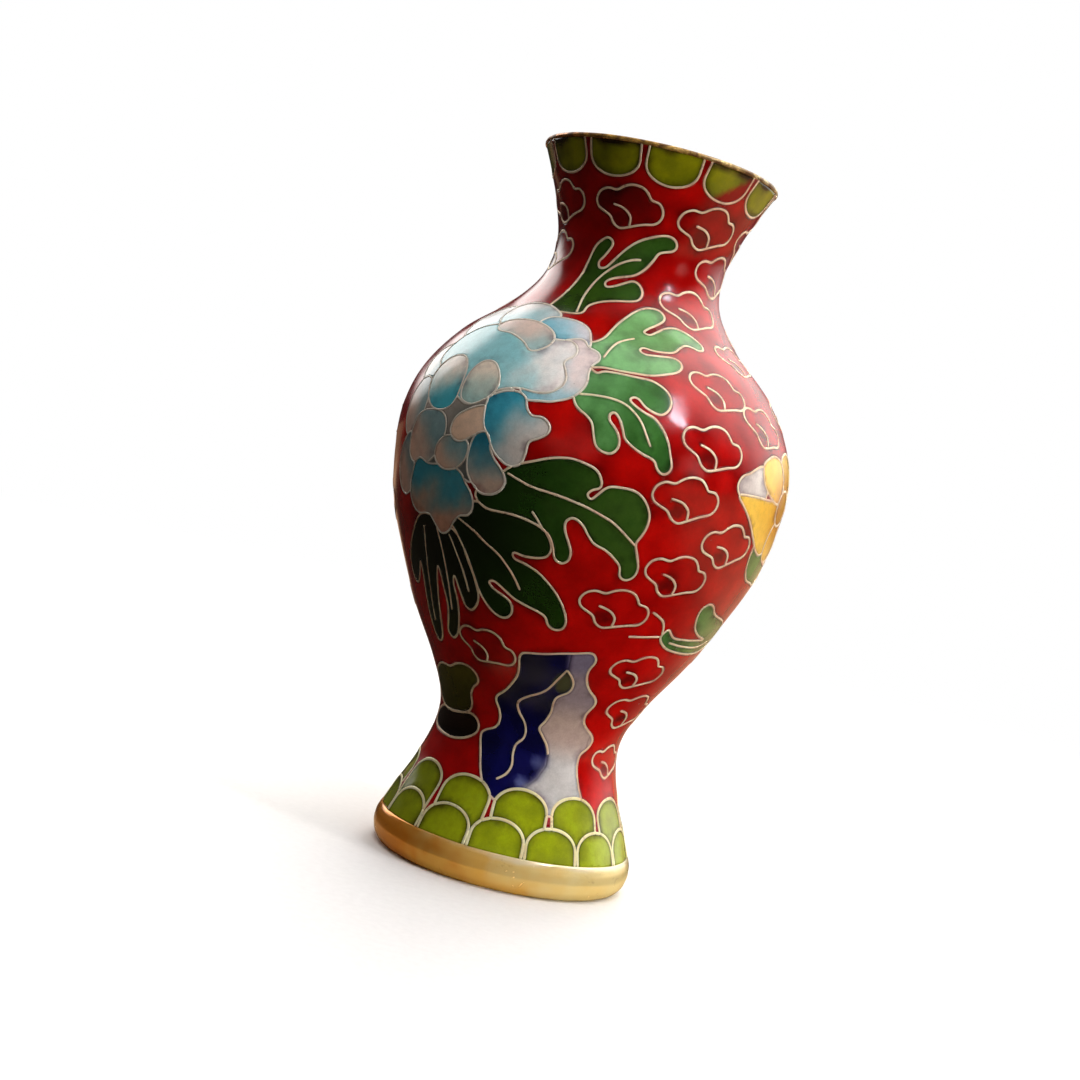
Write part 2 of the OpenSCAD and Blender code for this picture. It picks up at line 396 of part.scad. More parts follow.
// The cells and the wires of every motif of one kind.
module motif_cells(places, outlines, veins = [])
    for (p = places) cell(p) offset(delta = 0) fields(p, outlines, veins);
module motif_wires(places, outlines, veins = [])
    for (p = places) wire(p) walls(p, outlines, veins);

// ---- The metal body -----------------------------------------------------------------------

copper_out = enamel_t;
copper_mid = enamel_t + copper_t / 2;
copper_in = enamel_t + copper_t;
lining_in = copper_in + lining_t;

// One copper section. Where it meets another, its outer half and inner half stop at different heights.
module copper(outer_low, inner_low, outer_high, inner_high)
    rotate_extrude() polygon(concat(
        stretch(copper_out, outer_low, outer_high),
        inner_high < outer_high ? reversed(stretch(copper_mid, inner_high, outer_high)) : [],
        reversed(stretch(copper_in, inner_low, inner_high)),
        inner_low < outer_low ? stretch(copper_mid, inner_low, outer_low) : []));

module copper_neck()
    color("peru") copper(neck_joint_z, neck_joint_z - lap, lip_z, lip_z);
module copper_shoulder()
    color("sandybrown") copper(belly_joint_z, belly_joint_z - lap, neck_joint_z, neck_joint_z - lap);
module copper_lower_body()
    color("peru") copper(skirt_joint_z, skirt_joint_z - lap, belly_joint_z, belly_joint_z - lap);
module copper_foot_skirt()
    color("sandybrown") copper(seat_z, seat_z, skirt_joint_z, skirt_joint_z - lap);

// The foot ring: a turned ring with a ledge for the base plate and a rebate for the copper skirt.
seat_z = foot_ring_h - skirt_seat;
plate_low = seat_z - plate_drop - plate_t;
plate_top = plate_low + plate_t;
foot_bore_r = 15 * scale_r;
plate_r = 16 * scale_r;
// The ring's outer side as radius and height, for a ring 5 high under a belly 55 across.
FOOT_OUT = [[16.9, 0], [17.5, 0.35], [18.1, 1.2], [18.4, 2.5], [18.3, 3.8], [18.0, 4.6]];
scale_foot = foot_ring_h / 5;
module foot_ring()
    color("gold") rotate_extrude() polygon(concat(
        [[foot_bore_r, 0]],
        [for (p = FOOT_OUT) [p[0] * scale_r, p[1] * scale_foot]],
        [[radius(foot_ring_h) + wire_proud, foot_ring_h]],
        reversed(stretch(copper_out, seat_z, foot_ring_h)),
        [[stretch(copper_in, seat_z, foot_ring_h)[0][0], seat_z]],
        [[plate_r, seat_z], [plate_r, plate_low], [foot_bore_r, plate_low]]));

module base_plate()
    color("peru") translate([0, 0, plate_low]) cylinder(r = plate_r, h = plate_t);

module base_enamel()
    color("royalblue") translate([0, 0, plate_low - lining_t]) cylinder(r = foot_bore_r, h = lining_t);

module lip_ring() {
    out = stretch(0, lip_z, height)[0][0];
    in = stretch(lining_in, lip_z, height)[0][0];
    bevel = 0.3 * lip_ring_h;
    color("gold") rotate_extrude() polygon([
        [in - wire_proud, lip_z], [out + 2 * wire_proud, lip_z],
        [out + 3 * wire_proud, lip_z + lip_ring_h / 2], [out - bevel, height],
        [in + bevel, height], [in - wire_proud, height - bevel]]);
}

module inner_enamel()
    color("royalblue") rotate_extrude() polygon(concat(
        [[0, plate_top], [plate_r, plate_top], [plate_r, seat_z]],
        stretch(copper_in, seat_z, lip_z),
        reversed(stretch(lining_in, seat_z + lining_t, lip_z)),
        [[0, seat_z + lining_t]]));

// ---- The enamel and its wires -------------------------------------------------------------

module cloud_ribbons(p) {
    difference() {
        offset(delta = wire_w / 2) area(p, CLOUD);
        offset(delta = -wire_w / 2) area(p, CLOUD);
    }
    ribbon(p, CLOUD_HOOK);
}
module cloud_wires()
    color("khaki") for (p = CLOUDS) wire(p) offset(delta = 0) cloud_ribbons(p);

module ground_enamel()
    color("firebrick") difference() {
        shell(enamel_t, 0, foot_ring_h, lip_z);
        cutters(lip_places, [LIP_SCALLOP]);
        foot_cutters();
        flower_cutters();
        leaf_cutters();
        cutters(ROCKS, [ROCK]);
        cutters(BUSHES, [BUSH, SOIL]);
        for (p = CLOUDS) outwards(p) offset(delta = 0) cloud_ribbons(p);
        for (p = FORKED_LEAVES, s = STEMS) outwards(p) ribbon(p, s);
    }

module lip_scallop_wires() color("khaki") motif_wires(lip_places, [LIP_SCALLOP]);
module lip_scallop_enamel() color("olivedrab") motif_cells(lip_places, [LIP_SCALLOP]);

module lower_scallop_wires() color("khaki") motif_wires(lower_places, [FOOT_SCALLOP]);
module lower_scallop_enamel() color("olivedrab") motif_cells(lower_places, [FOOT_SCALLOP]);
module upper_scallop_wires()
    color("khaki") difference() {
        motif_wires(upper_places, [FOOT_SCALLOP]);
        cutters(lower_places, [FOOT_SCALLOP]);
    }
module upper_scallop_enamel()
    color("olivedrab") difference() {
        motif_cells(upper_places, [FOOT_SCALLOP]);
        cutters(lower_places, [FOOT_SCALLOP]);
    }

module peony_wires() color("khaki") motif_wires(PEONIES, PEONY);
module peony_enamel() color("skyblue") motif_cells(PEONIES, PEONY);

module yellow_flower_wires() color("khaki") motif_wires(YELLOW_FLOWERS, FLOWER_OUTLINES);
module yellow_petal_enamel() color("gold") motif_cells(YELLOW_FLOWERS, YELLOW_FLOWER);
module white_petal_enamel()
    color("white") for (p = YELLOW_FLOWERS, i = [0 : len(WHITE_PETALS) - 1])
        cell(p) offset(delta = 0) field(p, FLOWER_OUTLINES, len(YELLOW_FLOWER) + i);

module leaf_wires()
    color("khaki") {
        difference() {
            union() {
                motif_wires(TALL_LEAVES, TALL_LEAF, TALL_LEAF_VEINS);
                motif_wires(LIGHT_LEAVES, LIGHT_LEAF, LIGHT_LEAF_VEINS);
                motif_wires(DARK_LEAVES, DARK_LEAF, DARK_LEAF_VEINS);
                motif_wires(ROUND_LEAVES, ROUND_LEAF, ROUND_LEAF_VEINS);
            }
            flower_cutters();
        }
        difference() {
            motif_wires(FEATHER_LEAVES, FEATHER_LEAF, FEATHER_LEAF_VEINS);
            cutters(DARK_LEAVES, DARK_LEAF);
            flower_cutters();
        }
        motif_wires(FORKED_LEAVES, FORKED_LEAF, FORKED_LEAF_VEINS);
        for (p = FORKED_LEAVES, s = STEMS) difference() {
            wire(p) ribbon(p, s);
            cutters([p], FORKED_LEAF);
        }
    }
module light_leaf_enamel()
    color("limegreen") {
        difference() {
            union() {
                motif_cells(LIGHT_LEAVES, LIGHT_LEAF, LIGHT_LEAF_VEINS);
                motif_cells(ROUND_LEAVES, ROUND_LEAF, ROUND_LEAF_VEINS);
            }
            flower_cutters();
        }
        motif_cells(FORKED_LEAVES, FORKED_LEAF, FORKED_LEAF_VEINS);
    }
module dark_leaf_enamel()
    color("darkgreen") {
        difference() {
            union() {
                motif_cells(TALL_LEAVES, TALL_LEAF, TALL_LEAF_VEINS);
                motif_cells(DARK_LEAVES, DARK_LEAF, DARK_LEAF_VEINS);
            }
            flower_cutters();
        }
        difference() {
            motif_cells(FEATHER_LEAVES, FEATHER_LEAF, FEATHER_LEAF_VEINS);
            cutters(DARK_LEAVES, DARK_LEAF);
            flower_cutters();
        }
    }

module rock_body(p) {
    difference() {
        offset(delta = -wire_w / 2) area(p, ROCK);
        for (w = ROCK_WIRES) ribbon(p, w);
    }
}
module pale_face(p) polygon(laid(p, ROCK_PALE_FACE));
module rock_wires()
    color("khaki") for (p = ROCKS) difference() {
        wire(p) offset(delta = 0) difference() {
            silhouette(p, [ROCK]);
            rock_body(p);
        }
        foot_cutters();
    }
module rock_blue_enamel()
    color("midnightblue") for (p = ROCKS) difference() {
        cell(p) offset(delta = 0) difference() {
            rock_body(p);
            pale_face(p);
        }
        foot_cutters();
    }
module rock_white_enamel()
    color("lightgray") for (p = ROCKS) difference() {
        cell(p) offset(delta = 0) intersection() {
            rock_body(p);
            pale_face(p);
        }
        foot_cutters();
    }

module bush_wires() color("khaki") motif_wires(BUSHES, [BUSH, SOIL]);
module bush_enamel()
    color("olive") for (p = BUSHES) cell(p) field(p, [BUSH, SOIL], 0);
module soil_enamel()
    color("#202020") for (p = BUSHES) cell(p) field(p, [BUSH, SOIL], 1);

copper_neck();
copper_shoulder();
copper_lower_body();
copper_foot_skirt();
base_plate();
foot_ring();
lip_ring();
inner_enamel();
base_enamel();
ground_enamel();
cloud_wires();
lip_scallop_wires();
lip_scallop_enamel();
upper_scallop_wires();
upper_scallop_enamel();
lower_scallop_wires();
lower_scallop_enamel();
peony_wires();
peony_enamel();
yellow_flower_wires();
yellow_petal_enamel();
white_petal_enamel();
leaf_wires();
light_leaf_enamel();
dark_leaf_enamel();
rock_wires();
rock_blue_enamel();
rock_white_enamel();
bush_wires();
bush_enamel();
soil_enamel();
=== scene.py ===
"""A small cloisonne vase: red ground, peonies and leaves in wire-walled enamel cells, gilt rings.

Outlines, wires and rings are in millimetres, as in the CAD source, and become metres in on_side()
and lathe(). The camera, materials and lights are in metres. Azimuths are degrees, 0 at the front (-Y)
and growing towards +X.
"""

import math

import bpy
import numpy as np
from mathutils import Matrix, Vector, geometry, kdtree, noise


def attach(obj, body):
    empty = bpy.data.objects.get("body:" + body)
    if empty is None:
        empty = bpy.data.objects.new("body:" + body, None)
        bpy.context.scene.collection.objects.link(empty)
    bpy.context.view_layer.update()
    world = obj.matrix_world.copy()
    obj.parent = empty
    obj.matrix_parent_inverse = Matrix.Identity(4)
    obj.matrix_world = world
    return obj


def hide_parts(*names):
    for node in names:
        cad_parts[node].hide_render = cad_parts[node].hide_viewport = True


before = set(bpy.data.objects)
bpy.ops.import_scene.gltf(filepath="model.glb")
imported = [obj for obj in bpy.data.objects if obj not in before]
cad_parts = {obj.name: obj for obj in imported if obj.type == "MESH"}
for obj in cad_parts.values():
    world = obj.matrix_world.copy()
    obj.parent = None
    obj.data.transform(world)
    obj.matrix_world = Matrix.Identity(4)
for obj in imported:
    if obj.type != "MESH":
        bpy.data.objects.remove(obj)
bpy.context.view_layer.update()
MM = 0.001

# ---- Camera ----

CAMERA_AT = (0.0, -0.2372, 0.0551)
CAMERA_LENS = 56.3
CAMERA_YAW = 1.10
CAMERA_PITCH = -2.29
CAMERA_ROLL = -13.34


def add_camera():
    data = bpy.data.cameras.new("camera")
    data.lens = CAMERA_LENS
    data.sensor_width = 36
    data.clip_start = 0.01
    data.clip_end = 50
    camera = bpy.data.objects.new("camera", data)
    turn = (Matrix.Rotation(math.radians(CAMERA_YAW), 4, "Z")
            @ Matrix.Rotation(math.radians(CAMERA_PITCH), 4, "X")
            @ Matrix.Rotation(math.radians(CAMERA_ROLL), 4, "Y")
            @ Matrix.Rotation(math.radians(90), 4, "X"))
    camera.matrix_world = Matrix.Translation(CAMERA_AT) @ turn
    bpy.context.scene.collection.objects.link(camera)
    bpy.context.scene.camera = camera


add_camera()

# ---- Outlines, as in the CAD source ----

SIDE = [
    [3, 18.4], [5, 17.7], [8.5, 16.3], [13, 14.4], [18, 13.1], [22, 13.4], [27, 15.8], [33, 19.5],
    [40, 23], [47, 25.9], [54, 27.3], [60, 27.5], [66, 25.8], [72, 21.7], [77, 16.2], [82, 12.6],
    [87, 11.9], [92, 13.2], [96, 14.8], [100, 16.7], [102, 17.7],
]
# The last petal lies under the others, and shows only in the narrow gaps between the inner ones.
PEONY = [
    [[-4, 0.8], [-3.8, 2.8], [-3, 4.3], [-1.9, 4.8], [-0.6, 4.6], [0.6, 3.5], [1.5, 2], [1.5, 0.5],
     [0.4, -0.8], [-1.4, -1.7], [-3.4, -1.2]],
    [[-4.4, -2], [-4.4, 1.4], [-5.2, 3.6], [-6.8, 4.9], [-9, 4.7], [-10.8, 3.3], [-11.6, 1],
     [-10.8, -1.4], [-8.8, -3], [-6.4, -3.2]],
    [[-5, 12], [-3, 13.2], [-0.4, 13.4], [2.3, 12.6], [4.3, 11.2], [4.9, 9.6], [4.3, 8.2], [2.9, 7.6],
     [1.2, 8.8], [-1.8, 10], [-4.6, 10.3]],
    [[1.2, -0.2], [1.6, 0.6], [3, 1.3], [5, 1.7], [7.2, 1.6], [8.8, 2], [9.8, 3.1], [9.8, 4.4],
     [9.1, 5.6], [8.2, 6.9], [8.9, 8.4], [8.2, 9.9], [6.8, 10.7], [5.2, 10.4], [2, 10.5], [-2, 11],
     [-6, 11.3], [-9.6, 9.6], [-12, 6.6], [-12, 3.4], [-6, 0], [-2, -1.8]],
    [[1, -0.6], [1.8, 0.3], [3.2, 1], [4.9, 1.2], [6.2, 0.6], [6.9, -0.7], [7.9, -1.5], [9.3, -1.4],
     [10.5, -2.2], [10.6, -3.2], [9.6, -4.1], [8.5, -4.8], [8.4, -6.4], [7.9, -7.8], [6.5, -8.3],
     [5, -7.7], [3.8, -6.8], [2.8, -5.2], [1.6, -3.8]],
    [[3.9, -2.3], [4.4, -3.4], [3, -4.5], [1.5, -4.9], [0.2, -5.8], [-1.2, -6.6], [-2.5, -6.6],
     [-3.6, -5.6], [-3.3, -3.9], [-1.8, -2.6], [0.4, -1.6], [2.5, -1.6]],
    [[2, -4.6], [0.8, -5.4], [0.3, -7.2], [0.2, -9], [0.6, -10.4], [1.6, -11.6], [3, -12.5], [4.5, -12.4],
     [5.8, -11.6], [6.3, -10.3], [5.5, -8.9], [4.2, -7.8], [3.4, -6.6], [3.2, -5]],
    [[-4.4, -6.4], [-5.8, -8], [-5.6, -9.6], [-3.8, -10.6], [-1.6, -10.2], [-0.2, -8.8], [0, -6.8],
     [-1.6, -6]],
    [[-9.6, -10], [-6.8, -10.4], [-3.6, -10], [-1, -10.3], [0.4, -11.6], [1.6, -13], [2, -14.6],
     [1.3, -15.8], [0, -16.1], [-1, -17.1], [-2, -18.6], [-3.4, -19.1], [-4.6, -18], [-6, -16.9],
     [-8.4, -17.2], [-10.4, -15.8], [-10.9, -13]],
    [[-9, -3.4], [-11.4, -4.4], [-12.6, -7], [-12.2, -9.8], [-9.8, -10.8], [-7, -10.2], [-5.4, -8.4],
     [-4.4, -5.6], [-5.6, -3.6]],
    [[-12.6, -6.8], [-15, -8.4], [-15.8, -11.4], [-14.6, -14.2], [-12.2, -15.2], [-10.4, -13.6],
     [-10.6, -10.2]],
    [[-11.4, 0.6], [-14, 0.8], [-15.8, -1.4], [-16, -4.4], [-14.6, -7], [-12.4, -7.2], [-10.6, -4.8],
     [-10.4, -1.8]],
    [[-11.6, 6.6], [-14.2, 5.8], [-15.6, 3.4], [-14.8, 0.8], [-12.2, 0], [-10.4, 2.4], [-9.6, 5]],
    [[5.2, 1], [8.6, 0.7], [10.4, 1.2], [11.8, 2.1], [12.5, 3.5], [12.4, 4.8], [11.9, 6], [11.7, 7.2],
     [12, 8.4], [11.2, 9.6], [9.6, 10.2], [7.6, 11.4], [4, 8]],
    [[9.6, 10], [8.7, 12.1], [7.5, 13.7], [5.8, 14.8], [3.8, 15.2], [1.4, 15], [0.6, 13.2], [2, 11],
     [6, 10]],
    [[2.4, 15.2], [0.8, 16.8], [-1.6, 17.6], [-4.4, 17.4], [-6.4, 16], [-6.8, 13.6], [-5, 11.6],
     [0, 12.6]],
    [[-6.2, 16], [-8.8, 15.8], [-11, 14], [-12, 11.4], [-11.4, 8.6], [-9, 9], [-5.6, 11]],
    [[-11.4, -2], [-9.5, 2], [-4, 3], [0, 2], [4.2, 1.2], [4.6, -2], [3.2, -5], [1.6, -8], [1.4, -11.4],
     [-1, -11], [-7, -11], [-10.4, -8]],
]
PEONIES = [[-35, 63, 1, 0, 1], [192, 61, 0.98, 0, -1]]
YELLOW_FLOWER = [
    [[-2.2, 0.4], [-1.4, 2.2], [0.6, 3], [2.6, 2.4], [3.4, 0.6], [2.6, -1.2], [0.6, -1.9], [-1.4, -1.2]],
    [[-8.4, 5.4], [-6.8, 6.6], [-4.6, 7.2], [-2.4, 6.6], [-1.2, 4.8], [-1.2, 2.4], [-2.4, 1], [-5.4, 1.6],
     [-7.8, 3]],
    [[-2.2, 6.6], [-0.6, 7.8], [1.8, 8.1], [4, 7], [4.6, 4.8], [3.4, 2.2], [0.6, 2], [-1, 3.6]],
    [[4.4, 6.6], [6.6, 7], [8.8, 5.8], [9.6, 3.6], [8.2, 1.4], [5.4, 0.4], [3, 1], [4.4, 4]],
    [[9, 1.4], [10.2, -0.8], [9.4, -3.4], [7.2, -5], [4.6, -4.6], [3, -2.4], [2.8, 0.2], [5.6, 0.8]],
    [[5, -4.8], [3.6, -6.6], [1, -7.2], [-1.4, -6.2], [-2, -3.8], [-0.4, -1.2], [2.8, -1.6]],
    [[-1.8, -6], [-4.4, -5.8], [-7, -4], [-9.6, -1.8], [-11.6, -0.4], [-13.2, 0.9], [-10.4, 1.2],
     [-6.6, 1.2], [-2, 1], [-0.6, -2]],
]
WHITE_PETALS = [
    [[-13.8, 2], [-13.2, 3.3], [-11.6, 4], [-10, 4.9], [-8.2, 5.3], [-7.2, 3.2], [-7, 1.2], [-10, 0.8],
     [-12.8, 0.8]],
    [[9, 5.4], [11, 5], [12.8, 3.6], [14.2, 1.8], [13.8, 0.4], [11.8, -0.4], [9.8, 0], [8.6, 2]],
]
YELLOW_FLOWERS = [[72, 57, 1, 0, 1]]
TALL_LEAF = [
    [[-9.5, -9.5], [-8.3, -6.5], [-7.2, -4.2], [-6.4, -2], [-6, 0], [-5.6, 1.7], [-4.9, 2.8], [-3.8, 3.4],
     [-3, 2.6], [-3.8, 0.9], [-4.4, 0], [-4.1, -0.8], [-3.2, -0.6], [-2.4, 0.5], [-1.4, 1.9], [0, 3.4],
     [1.8, 4.5], [3.8, 5.2], [5.1, 4.9], [5.5, 4.1], [5, 3.4], [3.4, 2.8], [2.8, 1.6], [2, 0.2],
     [0.9, -0.9], [-0.6, -1.5], [-2, -2.1], [-2.7, -2.8], [-2.4, -3.5], [-1.4, -3.2], [-0.2, -2.4],
     [0.9, -1.8], [1.9, -2.2], [2.5, -3.3], [2.3, -4.5], [1.3, -5.1], [-0.6, -5.6], [-2.6, -6.4],
     [-4, -7.6], [-4.8, -9.4]],
]
TALL_LEAF_VEINS = [
    [[-5.2, -9.2], [-5.1, -6.6], [-4.7, -4.5], [-4, -2.8], [-3.1, -1.4], [-1.6, 0.1], [0, 1], [1.2, 1.3]],
]
LIGHT_LEAF = [
    [[-7.4, 4.3], [-6.2, 4.7], [-5, 5.9], [-4.2, 7.6], [-3.3, 9.6], [-2.2, 11.4], [-1, 13], [0.4, 14],
     [1.9, 14.1], [2.8, 13.4], [2.8, 12.4], [1.8, 11.2], [0.8, 10.2], [0.2, 9.2], [1, 8.9], [2, 9.9],
     [3, 11], [4.3, 11.6], [5.8, 11.4], [7.4, 10.8], [8.8, 9.8], [9.1, 8.9], [8.3, 8.4], [7, 8.7],
     [6, 8.6], [5.2, 7.6], [4.6, 6.6], [3.4, 6], [1.6, 5.7], [0.2, 5.8], [-0.2, 5.1], [0.6, 4.6],
     [2.2, 4.9], [4.2, 5.3], [5.3, 4.8], [5.6, 3.8], [5, 2.8], [3.5, 2], [1.8, 1.3], [0, 1], [-2.5, 0.8],
     [-4.8, 0.7], [-6.8, 0.3], [-7.6, 2]],
    [[-7, 0.4], [-5.4, -0.4], [-4.2, 0.2], [0, 0.4], [1.8, 0.4], [3.1, -0.1], [4.1, -0.9], [4.6, -2],
     [4.5, -3.2], [3.8, -4.1], [2.8, -4.2], [1.4, -3.7], [0.4, -2.8], [-0.3, -2.7], [-0.7, -3.2],
     [0.2, -3.9], [1.6, -4.5], [2.8, -4.9], [4, -6], [5, -7.4], [5.7, -9], [6.2, -10.4], [5.9, -11.3],
     [5.1, -11.6], [4.3, -11.1], [3.7, -10.2], [2, -9.7], [0.6, -9.1], [-0.5, -8.3], [-1, -7.2],
     [-1.6, -6.1], [-2.3, -5.4], [-2.9, -5.7], [-2.8, -6.5], [-1.9, -7.4], [-1.2, -8.5], [-1.1, -9.7],
     [-1.8, -10.6], [-3, -10.6], [-3.9, -10], [-4.4, -8.8], [-4.9, -7.4], [-5.8, -6.6], [-6.9, -6],
     [-7.7, -4.8], [-8, -2]],
]
LIGHT_LEAF_VEINS = [
    [[-4.8, 2.3], [-4, 4.2], [-2.9, 5.9], [-1, 7.3]],
    [[-7.2, -4], [-5.2, -3.7], [-3.2, -3.6], [-1.4, -3.9], [0, -4.7], [1.2, -5.9], [2.1, -7.3],
     [2.9, -8.6]],
]
DARK_LEAF = [
    [[-6.5, 7.6], [-5, 8.5], [-3.4, 9.2], [-1.2, 10.1], [1.2, 10.6], [3.2, 10.4], [4.8, 9.8], [5.6, 8.6],
     [5.5, 7.8], [4.7, 7.4], [4.2, 6.7], [4.8, 6.2], [5.6, 7.2], [6.6, 8.2], [8.4, 8.5], [10.2, 8.4],
     [11.6, 7.5], [12.5, 6], [12.5, 4.4], [12, 3], [11.5, 1.9], [12.1, 0.4], [12.5, -1.2], [12.1, -2.5],
     [11.1, -3.1], [10.3, -2.7], [10.1, -1.5], [9.2, -0.6], [7.8, 0.3], [6.4, 0.7], [5.4, 1.6],
     [4.4, 2.8], [3.2, 3.4], [2.3, 2.8], [2.4, 1.6], [3, 0.4], [3.6, -0.9], [3.5, -2.2], [2.6, -2.8],
     [1.7, -2.3], [1.3, -1], [0.6, 0.3], [-0.6, 1.2], [-2.4, 1.7], [-5, 2], [-8.5, 2], [-10.5, 3.5],
     [-8.5, 5.5]],
    [[-9, 2.6], [-5, 2.4], [-2.4, 2.2], [-0.7, 1.4], [0.5, 0.3], [1.1, -1.1], [0.8, -2.3], [-0.4, -2.9],
     [-2.2, -3.1], [-3.6, -2.9], [-3.4, -3.7], [-1.8, -4.1], [-0.1, -4.8], [1.4, -5.9], [2.8, -7.3],
     [3.9, -9], [4.5, -10.8], [4.2, -12], [3.2, -12.4], [2.3, -11.9], [1.8, -10.9], [0.6, -10.3],
     [-1, -9.9], [-2.6, -9.4], [-4.2, -8.4], [-5.6, -7.6], [-6.4, -7.9], [-5.8, -8.6], [-4.4, -9.2],
     [-3.1, -9.9], [-2.6, -11.2], [-3.1, -12.3], [-4.2, -12.5], [-5.6, -11.8], [-6.8, -10.7],
     [-7.8, -9.3], [-8.7, -7.6], [-9.8, -5.7], [-11, -3.9], [-12.4, -2.2], [-14, -0.4], [-12.5, 2]],
]
DARK_LEAF_VEINS = [
    [[-6.4, 7], [-3.4, 6.1], [-0.4, 5.8], [2.4, 5.5], [5.2, 4.9], [7.8, 4.1], [9.8, 2.9], [11.6, 1.6]],
    [[-2.2, 3], [-1.3, 2.1], [-0.4, 1]],
    [[-12.4, -0.2], [-9.8, -1.3], [-7.8, -2.5], [-5.8, -3.6], [-4.2, -5], [-3, -6.4], [-2, -7.9]],
]
FEATHER_LEAF = [
    [[2, 15.5], [5.4, 14], [6.6, 11], [7.4, 8.4], [7.6, 6.2], [6.9, 4.6], [5.9, 3.8], [5, 4.4],
     [4.5, 6.2], [3.9, 8.2], [3.5, 7], [3.8, 5], [3.6, 2.6], [3, 0.4], [2.1, -1], [1.2, -1.3],
     [0.7, -0.4], [1.2, 1.2], [1.7, 3.4], [1.4, 6], [0.8, 9], [0.2, 6.8], [-0.2, 4], [-0.5, 1],
     [-1, -1.4], [-1.9, -2.6], [-2.8, -2.4], [-3.3, 0], [-3.4, 3.5], [-3.3, 6.6], [-3.6, 8.8], [-4.3, 7],
     [-5.3, 5.4], [-6.6, 5.6], [-7.2, 7.4], [-6.5, 10], [-4.5, 13], [-2, 15.5]],
]
FEATHER_LEAF_VEINS = [
    [[3.4, 14.6], [4.6, 12], [5.6, 9], [6.1, 6.4]],
    [[1.4, 14.6], [2.2, 11], [2.5, 7], [2.4, 3]],
    [[-1.4, 14], [-1.7, 9], [-1.9, 4], [-2.1, 0.4]],
]
FORKED_LEAF = [
    [[-5.3, 0.8], [-4.2, 0.1], [-3, -0.4], [-0.5, -0.4], [2, -0.3], [4.4, -0.1], [1.8, 0.5], [-0.2, 1.5],
     [-1.3, 2.7], [-1.9, 4], [-1.7, 5.1], [-0.8, 5.6], [0.4, 5.3], [1.6, 4.4], [3.4, 3.8], [6, 3.4],
     [8.4, 2.6], [9.4, 0.6], [8.4, -1.4], [5.6, -2.4], [2.5, -2.7], [-0.5, -2.6], [-3.2, -2.2],
     [-5, -1.3], [-5.8, -0.3]],
]
FORKED_LEAF_VEINS = [[[-3.6, -1.2], [0, -1.5], [4, -1.4], [7, -0.4]]]
ROUND_LEAF = [
    [[-5, 4], [-5.6, 2], [-5.4, 0], [-4.4, -1.8], [-2.6, -2.9], [0, -3.3], [2.8, -3.6], [5.2, -2.8],
     [6.8, -1], [7.8, 1.2], [7.4, 3.4], [4, 4.6], [0, 4.8]],
]
ROUND_LEAF_VEINS = [[[-3, 3.4], [-1, 1], [2, -0.4], [5.4, 0]]]
STEMS = [
    [[-9.6, 3], [-8.4, 2.5], [-7.2, 1.9], [-6.4, 1], [-5.9, 0]],
    [[-10.4, -1.3], [-8.2, -0.9], [-6, -0.5]],
]
TALL_LEAVES = [[-5, 84, 1, 0, 1], [172, 83, 1, 0, -1]]
LIGHT_LEAVES = [[8, 69, 1, 0, 1], [150, 67, 1, 0, -1]]
DARK_LEAVES = [[-8, 47, 1, 0, 1], [166, 45, 1, 0, -1]]
FEATHER_LEAVES = [[-48, 32, 1, 0, 1], [205, 30, 1, 0, -1]]
FORKED_LEAVES = [[55, 38, 1, 0, 1], [-104, 57, 0.9, 0, -1]]
ROUND_LEAVES = [[72, 50, 1, 0, 1]]
ROCK = [
    [-4.9, 10], [-4.7, 10.8], [-4, 11.1], [-2, 11.5], [0, 12.2], [2, 12.7], [4, 13.3], [4.8, 12.7],
    [4.9, 11.8], [4.5, 10.8], [4.4, 9.6], [4.8, 8.2], [5.6, 7], [6.6, 6], [6.9, 5], [6.4, 3.9], [6, 2.9],
    [6.1, 1.8], [6.8, 0.9], [8, 0], [8.5, -0.9], [8, -2], [7, -2.9], [6.8, -4.2], [7.1, -5.6],
    [7.8, -7.4], [8.6, -9.4], [6, -11.5], [-2, -11.5], [-5, -10], [-6.2, -8], [-6.9, -5.5], [-7.4, -3.2],
    [-6.8, -2.4], [-5.6, -1.7], [-5.2, -0.6], [-5.6, 0.8], [-6.4, 2.1], [-6.4, 3], [-5.6, 4], [-4.9, 5.5],
    [-4.5, 7], [-4.6, 8.5],
]
ROCK_PALE_FACE = [
    [1.7, 9.8], [2.6, 8.6], [3, 7.4], [2.7, 6.2], [1.4, 5.1], [1.1, 4], [1.2, 2.5], [0.8, 1], [0.2, -0.3],
    [0.9, -1.3], [1.7, -2.3], [2.2, -3.6], [2.3, -5.2], [1.5, -7], [0.2, -8.4], [0, -12], [10, -12],
    [10, 14.5], [1.4, 14.5], [1.5, 12],
]
ROCK_WIRES = [
    [[-3.9, -8.3], [-2.7, -7.3], [-2.2, -6], [-2.4, -4.5], [-2.3, -3.2], [-1.5, -2.2], [-1.4, -1.1],
     [-1.9, 0.1], [-2.8, 1.2], [-3.4, 2.4], [-3.2, 3.3], [-2.2, 4.2], [-0.9, 5.1], [0, 6.2], [0.8, 8],
     [1.6, 9.8]],
    [[1.6, 9.8], [2.6, 8.6], [3, 7.4], [2.7, 6.2], [1.4, 5.1], [1.1, 4], [1.2, 2.5], [0.8, 1],
     [0.2, -0.3], [0.9, -1.3], [1.7, -2.3], [2.2, -3.6]],
]
ROCKS = [[5, 22, 1, 0, 1], [160, 22, 1, 0, -1]]
